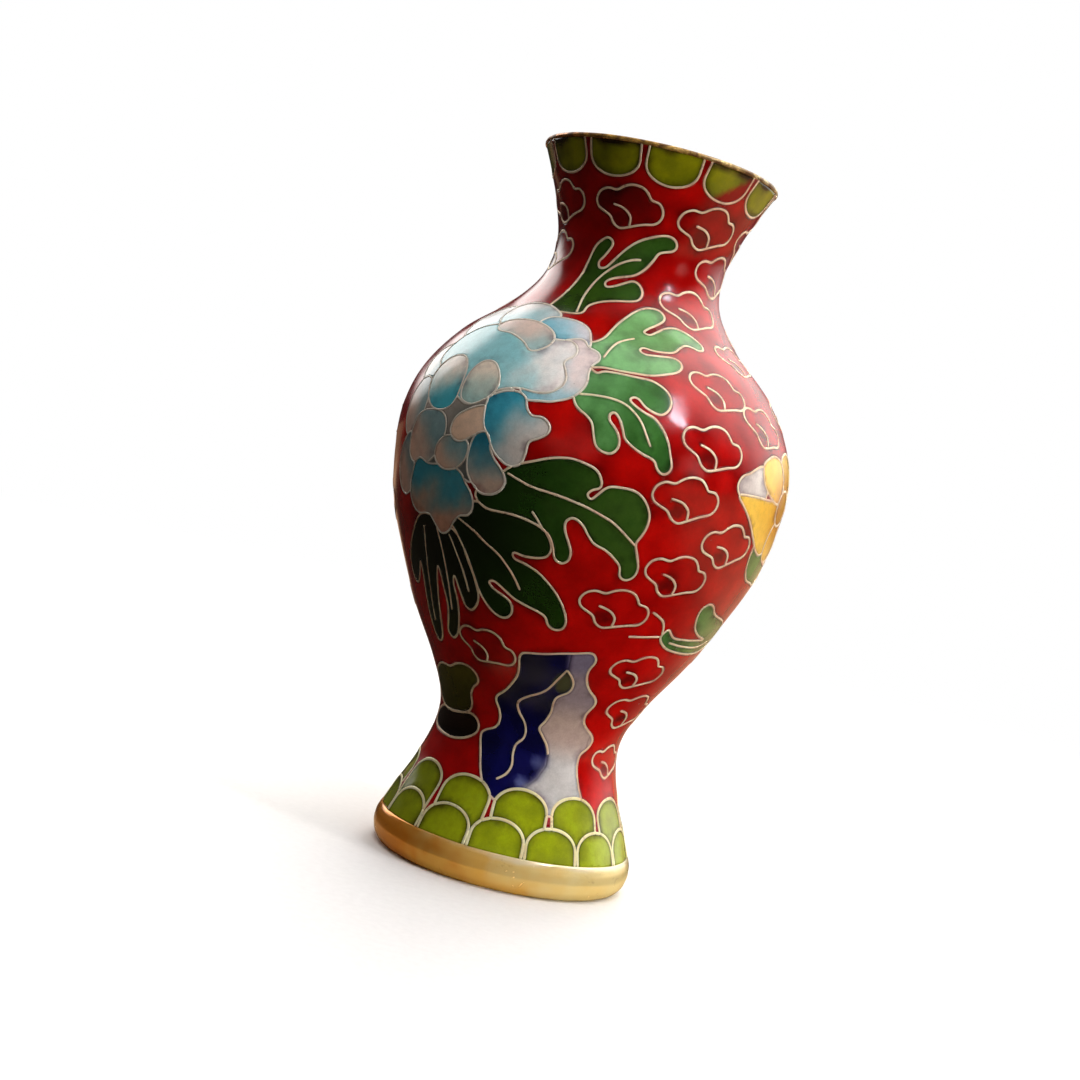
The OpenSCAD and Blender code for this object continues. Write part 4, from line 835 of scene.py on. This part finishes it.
def cell_tint(number, at):
    """sRGB colours, 0 to 1, for the sheet points at (an index array) in one cell."""
    # Painted shade: the red ground is painted darker up the neck.
    neck_shade = ramp(80, 87, sheet_z[at])
    ground = blend(RED, DEEP_RED, 0.35 + 0.8 * patches[at] + 0.4 * cloudy[at] + 0.45 * neck_shade)
    # Painted light: the red is painted brighter low on the belly, below 50 mm and most below 36 mm.
    ground = blend(ground, PAINTED_LIGHT_RED, 0.35 * ramp(50, 36, sheet_z[at]))
    if number == GROUND:
        return ground
    kind, place, index = (cells[number][key] for key in ("kind", "place", "index"))
    u, v = unlaid(place, sheet[at, 0], sheet[at, 1])
    if kind == "cloud":
        # Painted shade: the first cloud on the neck is painted darker, more so towards its left.
        if place == CLOUDS[0]:
            ground = blend(ground, HOOK_RED, 0.55 + 0.8 * patches[at] - 0.08 * u)
        # The glaze is thicker, and so darker, in the small lobe under the hook.
        away = np.hypot((u + 0.8) / 1.4, v + 1.4)
        return blend(ground, HOOK_RED, 0.75 * ramp(1.2, 0.5, away + 0.4 * fine[at]))
    if kind in ("lower", "upper", "lip"):
        return scallop_tint(kind, place, u, v, at)
    if kind == "rock":
        return rock_tint(u, v, at)
    if kind == "flower" and index >= len(YELLOW_FLOWER):
        return blend(WHITE, rgb(206, 196, 190), 0.4 + patches[at])
    if kind == "flower" and index > 0:
        t = ramp(1.5, 7.5, np.hypot(u - 0.6, v - 0.6)) + 0.3 * patches[at]
        return blend(rgb(224, 154, 22), rgb(250, 206, 84), t)
    base, tip, low, high = PETAL_SHADES[index] if kind == "peony" else CELL_SHADES[(kind, index)]
    du, dv = tip[0] - base[0], tip[1] - base[1]
    t = ((u - base[0]) * du + (v - base[1]) * dv) / (du * du + dv * dv)
    tint = blend(rgb(*low), rgb(*high), ramp(0.05, 0.95, t + 0.28 * patches[at] + 0.08 * fine[at]))
    if "leaf" in kind:
        tint = tint * (1 - 0.13 * ramp(-0.2, 0.5, patches[at] + 0.2 * fine[at]))[:, None]
    return tint


def to_linear(srgb):
    return np.where(srgb <= 0.04045, srgb / 12.92, ((np.clip(srgb, 0, 1) + 0.055) / 1.055) ** 2.4)


# Points on the seam's two edges are one point.
SEAM_CATCH = 1e-5
seam = {round(sheet[i, 1], 3): i for i in np.nonzero(sheet[:, 0] < -math.pi + SEAM_CATCH)[0]}
same = np.arange(len(sheet))
for i in np.nonzero(sheet[:, 0] > math.pi - SEAM_CATCH)[0]:
    same[i] = seam.get(round(sheet[i, 1], 3), i)

# ---- Materials ----


class Nodes:
    """Short calls for building a node tree."""

    def __init__(self, tree, coordinates):
        self.tree = tree
        tree.nodes.clear()
        self.place = self.add("ShaderNodeTexCoord").outputs[coordinates]

    def add(self, kind, **settings):
        node = self.tree.nodes.new(kind)
        for key, value in settings.items():
            setattr(node, key, value)
        return node

    def set(self, socket, value):
        """Links a socket into this one, or sets a constant."""
        if isinstance(value, bpy.types.NodeSocket):
            self.tree.links.new(value, socket)
        else:
            socket.default_value = value

    def fill(self, node, **values):
        for key, value in values.items():
            self.set(node.inputs[key.replace("_", " ")], value)
        return node.outputs[0]

    def noise(self, scale, detail, rough=0.6, distortion=0.0, place=None):
        node = self.add("ShaderNodeTexNoise")
        return self.fill(node, Vector=place or self.place, Scale=scale, Detail=detail, Roughness=rough,
                         Distortion=distortion)

    def patchy(self, scale, detail, low, high, to_low=0.0, to_high=1.0, rough=0.6, distortion=0.0):
        """Noise, with low and high stretched to to_low and to_high."""
        return self.span(self.noise(scale, detail, rough, distortion), low, high, to_low, to_high)

    def voronoi(self, scale, output):
        node = self.add("ShaderNodeTexVoronoi")
        self.fill(node, Vector=self.place, Scale=scale)
        return node.outputs[output]

    def turning_lines(self, across, along):
        """Fine lines round the axis."""
        node = self.add("ShaderNodeMapping")
        stretched = self.fill(node, Vector=self.place, Scale=(across, across, along))
        return self.noise(1.0, 3, 0.7, 0.0, stretched)

    def axis(self, name):
        node = self.add("ShaderNodeSeparateXYZ")
        self.set(node.inputs[0], self.place)
        return node.outputs[name]

    def dot(self, direction):
        node = self.add("ShaderNodeVectorMath", operation="DOT_PRODUCT")
        self.set(node.inputs[0], self.place)
        self.set(node.inputs[1], direction)
        return node.outputs["Value"]

    def attribute(self, name, output="Fac"):
        return self.add("ShaderNodeAttribute", attribute_name=name).outputs[output]

    def camera_sees(self):
        return self.add("ShaderNodeLightPath").outputs["Is Camera Ray"]

    def span(self, value, low, high, to_low=0.0, to_high=1.0, smooth_step=False):
        node = self.add("ShaderNodeMapRange", interpolation_type="SMOOTHSTEP" if smooth_step else "LINEAR")
        return self.fill(node, Value=value, From_Min=low, From_Max=high, To_Min=to_low, To_Max=to_high)

    def math(self, operation, a, b):
        node = self.add("ShaderNodeMath", operation=operation)
        self.set(node.inputs[0], a)
        self.set(node.inputs[1], b)
        return node.outputs[0]

    def times(self, a, b):
        return self.math("MULTIPLY", a, b)

    def plus(self, a, b):
        return self.math("ADD", a, b)

    def mix(self, share, a, b, mode="MIX"):
        node = self.add("ShaderNodeMix", data_type="RGBA", blend_type=mode)
        self.set(node.inputs["Factor"], share)
        self.set(node.inputs[6], a if isinstance(a, bpy.types.NodeSocket) else (*a, 1))
        self.set(node.inputs[7], b if isinstance(b, bpy.types.NodeSocket) else (*b, 1))
        return node.outputs[2]

    def mix_shader(self, share, a, b):
        node = self.add("ShaderNodeMixShader")
        for socket, value in zip(node.inputs, (share, a, b)):
            self.set(socket, value)
        return node.outputs[0]

    def bump(self, height, strength, distance, **after):
        """A bumped normal, on top of another where Normal= is given."""
        node = self.add("ShaderNodeBump")
        return self.fill(node, Height=height, Strength=strength, Distance=distance, **after)


class Material(Nodes):
    """One material, with a Principled shader and a node tree under construction."""

    def __init__(self, name):
        self.material = bpy.data.materials.new(name)
        self.material.use_nodes = True
        super().__init__(self.material.node_tree, "Object")
        self.shader = self.add("ShaderNodeBsdfPrincipled")
        self.surface = self.add("ShaderNodeOutputMaterial").inputs[0]
        self.set(self.surface, self.shader.outputs[0])

    def finish(self, color, roughness, normal, **constants):
        self.fill(self.shader, Base_Color=color, Roughness=roughness, Normal=normal, **constants)
        return self.material


GRAIN = 0.1
ENAMEL_ROUGH = 0.16


def enamel(name, dark_edge=(0.16, 0.08, 0.06), edge_width=0.55, edge_share=0.85):
    n = Material(name)
    tint = n.attribute("tint", "Color")
    edge_at = n.attribute("edge")
    # Enamel is ground glass melted in layers: cloudy at 1 mm and grainy at a tenth of that.
    clouds = n.patchy(900, 3, 0.3, 0.7, 1 - GRAIN, 1 + GRAIN)
    grains = n.patchy(5200, 2, 0.3, 0.7, 1 - 0.7 * GRAIN, 1 + 0.7 * GRAIN, rough=0.7)
    both = n.times(clouds, grains)
    grey = n.fill(n.add("ShaderNodeCombineColor"), Red=both, Green=both, Blue=both)
    color = n.mix(1.0, tint, grey, "MULTIPLY")

    def darken(share, shade):
        return n.mix(share, color, n.mix(1.0, tint, shade, "MULTIPLY"))

    # A dark line along each wire, uneven along its length.
    uneven = n.patchy(420, 2, 0.35, 0.65, 0.35, 1.0)
    near_wire = n.span(edge_at, 0.16, edge_width, 1.0, 0.0, True)
    color = darken(n.times(n.times(near_wire, uneven), edge_share), dark_edge)
    # Smoky patches that spread from some wires.
    smoke = n.times(n.span(edge_at, 0.2, 1.5, 1.0, 0.0, True), n.patchy(260, 3, 0.52, 0.68))
    color = darken(n.times(smoke, 0.65), (0.25, 0.15, 0.2))
    # Pits left by bubbles.
    pit_size = n.span(n.voronoi(640, "Color"), 0.72, 1.0, 0.0, 0.12)
    pit = n.span(n.math("SUBTRACT", n.voronoi(640, "Distance"), pit_size), -0.02, 0.03, 1.0, 0.0)
    pit = n.times(pit, n.math("GREATER_THAN", pit_size, 0.02))
    color = darken(n.times(pit, 0.75), (0.12, 0.08, 0.08))
    rough = n.patchy(330, 3, 0.35, 0.7, 0.7 * ENAMEL_ROUGH, 1.5 * ENAMEL_ROUGH)
    rough = n.plus(n.plus(rough, n.times(near_wire, 0.12)), n.times(pit, 0.3))
    surface = n.plus(n.noise(230, 2, 0.5), n.times(n.noise(1500, 2), 0.16))
    normal = n.bump(n.math("SUBTRACT", surface, n.times(pit, 0.8)), 0.35, 0.00006)
    return n.finish(color, rough, normal, IOR=1.52, Coat_Weight=0.2, Coat_Roughness=0.09, Coat_IOR=1.5)


def gilt_wire(name, bright=(1.0, 0.86, 0.62), dull=(0.86, 0.6, 0.42), left_shade=(0.46, 0.32, 0.23)):
    n = Material(name)
    color = n.mix(n.patchy(330, 3, 0.42, 0.68), bright, dull)
    color = n.mix(n.times(n.patchy(1100, 2, 0.58, 0.78), 0.6), color, (0.3, 0.15, 0.08))
    # Painted shade: the wires are painted darker towards the left (-X), where the lamps light them little.
    side = n.plus(n.axis("X"), n.patchy(160, 3, 0.3, 0.7, -0.003, 0.003))
    color = n.mix(n.span(side, -0.024, -0.013, 0.8, 0.0, True), color, left_shade)
    rough = n.patchy(800, 2, 0.3, 0.7, 0.34, 0.56)
    return n.finish(color, rough, n.bump(n.noise(2600, 3), 0.4, 0.00003), Metallic=0.35)


def gilt_ring(name, tarnish):
    n = Material(name)
    color = n.mix(n.patchy(120, 3, 0.35, 0.65, distortion=0.6), (1.0, 0.88, 0.46), (1.0, 0.78, 0.32))
    # Painted reflection and painted shade by side: the palest gold on the right, deeper gold in the middle
    # and copper-orange on the left.
    side = n.plus(n.axis("X"), n.patchy(90, 3, 0.3, 0.7, -0.008, 0.008))
    color = n.mix(n.span(side, -0.002, 0.011, 0.9, 0.0, True), color, (1.0, 0.58, 0.12))
    color = n.mix(n.span(side, -0.017, -0.007, 0.9, 0.0, True), color, (0.8, 0.26, 0.02))
    dark = n.patchy(520, 4, 0.62 - 0.3 * tarnish, 0.78 - 0.2 * tarnish, rough=0.65, distortion=0.8)
    color = n.mix(n.times(dark, 0.35 + 0.6 * tarnish), color, (0.14, 0.06, 0.02))
    # Painted highlight: the top edge is painted pale gold, most on the right, and not at all on a fully
    # tarnished ring.
    highlight_height = n.plus(n.axis("Z"), n.patchy(200, 2, 0.3, 0.7, -0.0003, 0.0003))
    share = n.span(side, -0.013, 0.006, 0.0, 0.8 - 0.8 * tarnish)
    color = n.mix(n.times(n.span(highlight_height, 0.0042, 0.0048, 0.0, 1.0, True), share), color, (1.0, 0.9, 0.62))
    rubbed = n.patchy(300, 3, 0.4, 0.7, 0.1, 0.26 + 0.2 * tarnish)
    normal = n.bump(n.turning_lines(12, 7000), 0.25, 0.00003)
    normal = n.bump(n.noise(700, 3), 0.25, 0.00008, Normal=normal)
    return n.finish(color, n.plus(rubbed, n.times(dark, 0.2)), normal, Metallic=0.45)


def lining(name):
    n = Material(name)
    color = n.mix(n.patchy(180, 4, 0.35, 0.65, distortion=0.4), (0.02, 0.16, 0.36), (0.05, 0.28, 0.5))
    color = n.mix(n.patchy(2200, 2, 0.64, 0.74, rough=0.7), color, (0.01, 0.04, 0.1))
    rough = n.patchy(300, 3, 0.3, 0.7, 0.2, 0.4)
    pits = n.bump(n.noise(500, 4), 0.5, 0.00015)
    return n.finish(color, rough, pits, Coat_Weight=0.4, Coat_Roughness=0.1)


# ---- Enamel and wire pieces ----

# The dark line along the wires of each olive scallop: its colour, width and share.
OLIVE_EDGE = ((0.3, 0.3, 0.25), 0.45, 0.7)
# Each enamel node: its piece's name, its slot, and its dark line along the wires where that differs from
# the usual one.
ENAMELS = {
    "ground_enamel": ("red_ground", "red_enamel"),
    "lower_scallop_enamel": ("lower_scallops", "olive_enamel", *OLIVE_EDGE),
    "upper_scallop_enamel": ("upper_scallops", "olive_enamel", *OLIVE_EDGE),
    "lip_scallop_enamel": ("lip_scallops", "olive_enamel", *OLIVE_EDGE),
    "peony_enamel": ("peony_petals", "petal_blue_enamel", (0.5, 0.46, 0.42), 0.4, 0.4),
    "yellow_petal_enamel": ("yellow_petals", "yellow_enamel", (0.5, 0.4, 0.3)),
    "white_petal_enamel": ("white_petals", "white_enamel", (0.5, 0.45, 0.42)),
    "light_leaf_enamel": ("light_leaves", "light_leaf_enamel", (0.3, 0.36, 0.3)),
    "dark_leaf_enamel": ("dark_leaves", "dark_leaf_enamel", (0.3, 0.3, 0.3)),
    "rock_blue_enamel": ("rock_blue", "navy_enamel", (0.4, 0.4, 0.5)),
    "rock_white_enamel": ("rock_pale", "rock_white_enamel", (0.4, 0.4, 0.5)),
    "bush_enamel": ("bushes", "bush_enamel"),
    "soil_enamel": ("soil", "soil_enamel"),
}


def add_enamels():
    by_node, tints, materials = {}, {}, {}
    for triangle, cell, pale in zip(triangles.tolist(), cell_of.tolist(), pale_of.tolist()):
        by_node.setdefault(enamel_node(cell, pale), []).append((triangle, cell))
    for cell in sorted(set(cell_of.tolist())):
        used = np.unique(triangles[cell_of == cell])
        tints[cell] = dict(zip(used.tolist(), to_linear(cell_tint(cell, used)).tolist()))
    for node, found in by_node.items():
        name, slot, *look = ENAMELS[node]
        if slot not in materials:
            materials[slot] = enamel(slot, *look)
        index, vertices, colors, edges, faces = {}, [], [], [], []
        for triangle, cell in found:
            face = []
            for i in same[triangle].tolist():
                if (i, cell) not in index:
                    index[(i, cell)] = len(vertices)
                    vertices.append(raised_at[i])
                    colors.append((*tints[cell].get(i, (0.2, 0, 0)), 1.0))
                    edges.append(edge[i])
                face.append(index[(i, cell)])
            if len(set(face)) == 3:
                faces.append(face)
        piece = new_piece(name, vertices, faces, node, materials[slot])
        tint = piece.data.attributes.new("tint", "FLOAT_COLOR", "POINT")
        tint.data.foreach_set("color", np.array(colors, np.float32).ravel())
        to_wire = piece.data.attributes.new("edge", "FLOAT", "POINT")
        to_wire.data.foreach_set("value", np.array(edges, np.float32))
        thick = piece.modifiers.new("thickness", "SOLIDIFY")
        thick.thickness = ENAMEL_THICK * MM
        thick.offset = -1


def add_wires():
    plain = gilt_wire("gilt_wire")
    golden = gilt_wire("golden_wire", (1.0, 0.96, 0.6), (0.94, 0.8, 0.44))
    silvery = gilt_wire("silvery_wire", (1.0, 0.95, 0.84), (0.9, 0.8, 0.66), (0.5, 0.45, 0.38))
    looks = {
        "upper_scallop_wires": (SCALLOP_WIRE_SHARE, golden),
        "lower_scallop_wires": (SCALLOP_WIRE_SHARE, golden),
        "peony_wires": (1.0, silvery),
    }
    for node in sorted({node for node, _ in all_lines}):
        broad, material = looks.get(node, (1.0, plain))
        vertices, faces = wire_mesh([run for name, run in all_lines if name == node], broad)
        new_piece(node.replace("_wires", "_gilt_wires"), vertices, faces, node, material)


add_enamels()
add_wires()

# ---- Rings, lining and base ----

FOOT_RING = [
    [15.0, 0.0], [16.9, 0.0], [17.5, 0.35], [18.1, 1.2], [18.4, 2.5], [18.3, 3.8],
    [18.0, 4.6], [17.75, 5.0], [16.6, 5.0], [15.6, 3.4], [15.0, 2.4],
]
# The lip ring, with radii from the enamel's face at its top.
LIP_RING_SHAPE = [[-2.15, 99.35], [0.1, 99.35], [0.18, 99.7], [-0.05, 100.0], [-1.6, 100.0], [-2.1, 99.8]]
# The lining lies between these depths under the enamel's face.
LINING_DEPTHS = (1.7, 2.1)


def lathe(name, outline, node, material, segments, unevenness):
    """A turned piece from a closed run of (radius, height) in mm, slightly uneven as hand-finished."""
    vertices, faces = [], []
    size = len(outline)
    for i in range(segments):
        a = 2 * math.pi * i / segments
        for r, z in outline:
            spot = (r * math.sin(a), -r * math.cos(a), z)
            grow = 1 + unevenness / max(r, 1) * wobble(spot, 0.3, 13)
            vertices.append((spot[0] * grow * MM, spot[1] * grow * MM, z * MM))
        j = (i + 1) % segments
        for k in range(size):
            m = (k + 1) % size
            faces.append((i * size + k, j * size + k, j * size + m, i * size + m))
    new_piece(name, vertices, faces, node, material)


def rounded(corners, reach, steps=4):
    """A closed run with each corner cut back by reach and turned on a short arc."""
    p = np.array(corners, float)
    out = []
    for before, at, after in zip(np.roll(p, 1, 0), p, np.roll(p, -1, 0)):
        a, b = before - at, after - at
        cut = min(reach, 0.45 * np.linalg.norm(a), 0.45 * np.linalg.norm(b))
        a, b = at + a / np.linalg.norm(a) * cut, at + b / np.linalg.norm(b) * cut
        for t in np.arange(steps + 1) / steps:
            out.append(tuple((1 - t) ** 2 * a + 2 * t * (1 - t) * at + t * t * b))
    return out


def inner_outline():
    """The lining between the copper's inside and the hollow, closed at the bottom."""
    outer, inner = [], []
    for z in np.concatenate([[3.8], np.arange(5.0, 99.4, 1.2), [99.4]]):
        s = arc_at(z)
        for run, depth in zip((outer, inner), LINING_DEPTHS):
            run.append((radius_at(s) - depth / np.interp(s, ARC, NORMAL_R), z))
    return [(0.4, 3.2), (15.9, 3.2)] + outer + inner[::-1] + [(0.4, 3.8)]


lip_radius = float(radius_at(HIGH_S))
lip_outline = rounded([[lip_radius + r, z] for r, z in LIP_RING_SHAPE], 0.15)
blue = lining("lining_enamel")
gilt = gilt_ring("gilt_ring", 0.04)
lathe("foot_ring_gilt", rounded(FOOT_RING, 0.35), "foot_ring", gilt, 256, 0.05)
lathe("lip_ring_gilt", lip_outline, "lip_ring", gilt_ring("gilt_lip", 1.0), 256, 0.06)
lathe("inner_lining", inner_outline(), "inner_enamel", blue, 192, 0.0)
# The copper sections and the base plate are hidden under enamel, and keep the CAD's own copper material.
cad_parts["base_enamel"].data.materials.clear()
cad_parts["base_enamel"].data.materials.append(blue)

# ---- Floor, world and lights ----

FLOOR_RINGS = (0.05, 0.1, 0.2, 0.4, 0.8, 1.6, 4, 12)
FLOOR_SEGMENTS = 64
# Direction, where its light starts and is full (as the cosine from that direction), and both levels.
WINDOWS = [
    ((0.42, 0.48, 0.77), 0.6, 0.98, 0.02, 2.1),
    ((-0.56, 0.72, 0.42), 0.93, 0.985, 0.0, 3.2),
    ((0.85, 0.52, 0.0), 0.8, 1.0, 0.0, 0.6),
]
CENTRE = (0, 0, 0.055)
WHITE_LIGHT = (1, 1, 1, 1)


def add_floor():
    size = FLOOR_SEGMENTS
    vertices, faces = [(0, 0, 0)], []
    for r in FLOOR_RINGS:
        vertices += [(r * math.cos(2 * math.pi * k / size), r * math.sin(2 * math.pi * k / size), 0)
                     for k in range(size)]
    for k in range(size):
        m = (k + 1) % size
        faces.append((0, 1 + k, 1 + m))
        for a in range(1, 1 + (len(FLOOR_RINGS) - 1) * size, size):
            faces.append((a + k, a + size + k, a + size + m, a + m))
    mesh = bpy.data.meshes.new("floor")
    mesh.from_pydata(vertices, [], faces)
    floor = bpy.data.objects.new("floor", mesh)
    bpy.context.scene.collection.objects.link(floor)
    n = Material("floor")
    distance = n.add("ShaderNodeVectorMath", operation="LENGTH")
    n.set(distance.inputs[0], n.place)
    distance = distance.outputs["Value"]
    # Pale paper near the vase, which fades into plain white.
    paper = n.mix(n.patchy(900, 3, 0.3, 0.7), (0.86, 0.86, 0.85), (0.9, 0.9, 0.89))
    n.finish(paper, 0.7, n.bump(n.noise(1500, 3), 0.1, 0.0001))
    white = n.fill(n.add("ShaderNodeEmission"), Color=WHITE_LIGHT)
    seen = n.mix_shader(n.span(distance, 0.1, 0.45, 0.0, 1.0, True), n.shader.outputs[0], white)
    # The glaze mirrors a darker table than the paper that is seen. Painted light on that table: its side
    # towards +X and +Y (lit_side) is painted lighter, and a warm bright patch is painted round the foot,
    # mirrored in the foot ring.
    lit_side = n.span(n.dot((0.8, 0.6, 0)), 0.03, 0.12, 0.0, 1.0, True)
    table = n.mix(lit_side, (0.015, 0.012, 0.01), (0.34, 0.21, 0.13))
    table = n.mix(n.span(distance, 0.022, 0.03, 0.0, 1.0, True), (0.44, 0.37, 0.22), table)
    mirrored = n.fill(n.add("ShaderNodeBsdfDiffuse"), Color=table)
    n.set(n.surface, n.mix_shader(n.camera_sees(), mirrored, seen))
    mesh.materials.append(n.material)


def add_world():
    """Windows behind the vase in a dim room, mirrored in the glaze, and white where the camera looks."""
    world = bpy.data.worlds.new("studio")
    bpy.context.scene.world = world
    world.use_nodes = True
    n = Nodes(world.node_tree, "Generated")
    level, *others = [n.span(n.dot(direction), *levels, True) for direction, *levels in WINDOWS]
    for other in others:
        level = n.plus(level, other)
    around = n.fill(n.add("ShaderNodeBackground"), Color=(1.0, 0.96, 0.93, 1), Strength=level)
    seen = n.fill(n.add("ShaderNodeBackground"), Color=WHITE_LIGHT, Strength=1.0)
    n.set(n.add("ShaderNodeOutputWorld").inputs[0], n.mix_shader(n.camera_sees(), around, seen))


def add_light(name, at, target, width, height, power, color, mirrored=False, spread=180, up=(0, 0, 1)):
    data = bpy.data.lights.new(name, "AREA")
    data.shape = "RECTANGLE"
    data.size = width
    data.size_y = height
    data.energy = power
    data.color = color
    data.spread = math.radians(spread)
    lamp = bpy.data.objects.new(name, data)
    lamp.location = at
    back = (Vector(at) - Vector(target)).normalized()
    side = Vector(up).cross(back).normalized()
    lamp.rotation_euler = Matrix((side, back.cross(side), back)).transposed().to_euler()
    lamp.visible_glossy = mirrored
    bpy.context.scene.collection.objects.link(lamp)


def mirror_spot(azimuth, z, distance):
    """Where a light has to be for the camera to see it mirrored on the side at this azimuth and height."""
    x, s = math.radians(azimuth), arc_at(z)
    at = Vector(on_side(x, s))
    n = Vector(normal_on_side(x, s))
    to_camera = (Vector(CAMERA_AT) - at).normalized()
    away = 2 * n.dot(to_camera) * n - to_camera
    return at + away * distance


add_floor()
add_world()
# The window is seen as a tall bright streak on the shoulder, and it stands along that streak.
window_up = mirror_spot(19.5, 69.5, 0.9) - mirror_spot(21, 64.5, 0.9)
window_at = mirror_spot(20.8, 66.3, 0.9)
add_light("window", window_at, CENTRE, 0.07, 0.34, 1.8, (0.88, 0.88, 1.0), True, up=window_up)
add_light("key", (0.8, -0.46, 0.2), (0, 0, 0.022), 0.3, 0.3, 0.19, (1.0, 0.94, 0.88), spread=12)
add_light("top", (-0.05, -0.3, 0.9), CENTRE, 0.4, 0.4, 3.1, (1.0, 0.98, 0.95))
add_light("fill", (-0.05, -0.8, 0.22), (0, 0, 0.02), 0.4, 0.4, 0.042, (1.0, 0.86, 0.76), spread=17)
add_light("low_fill", (-0.25, -0.76, 0.12), (0, 0, 0.03), 0.15, 0.15, 0.004, (1.0, 0.88, 0.8), spread=8)
add_light("back", (0.1, 0.8, 0.35), CENTRE, 0.5, 0.5, 6.0, (1.0, 0.97, 0.94))
bpy.context.scene.view_settings.view_transform = "Standard"
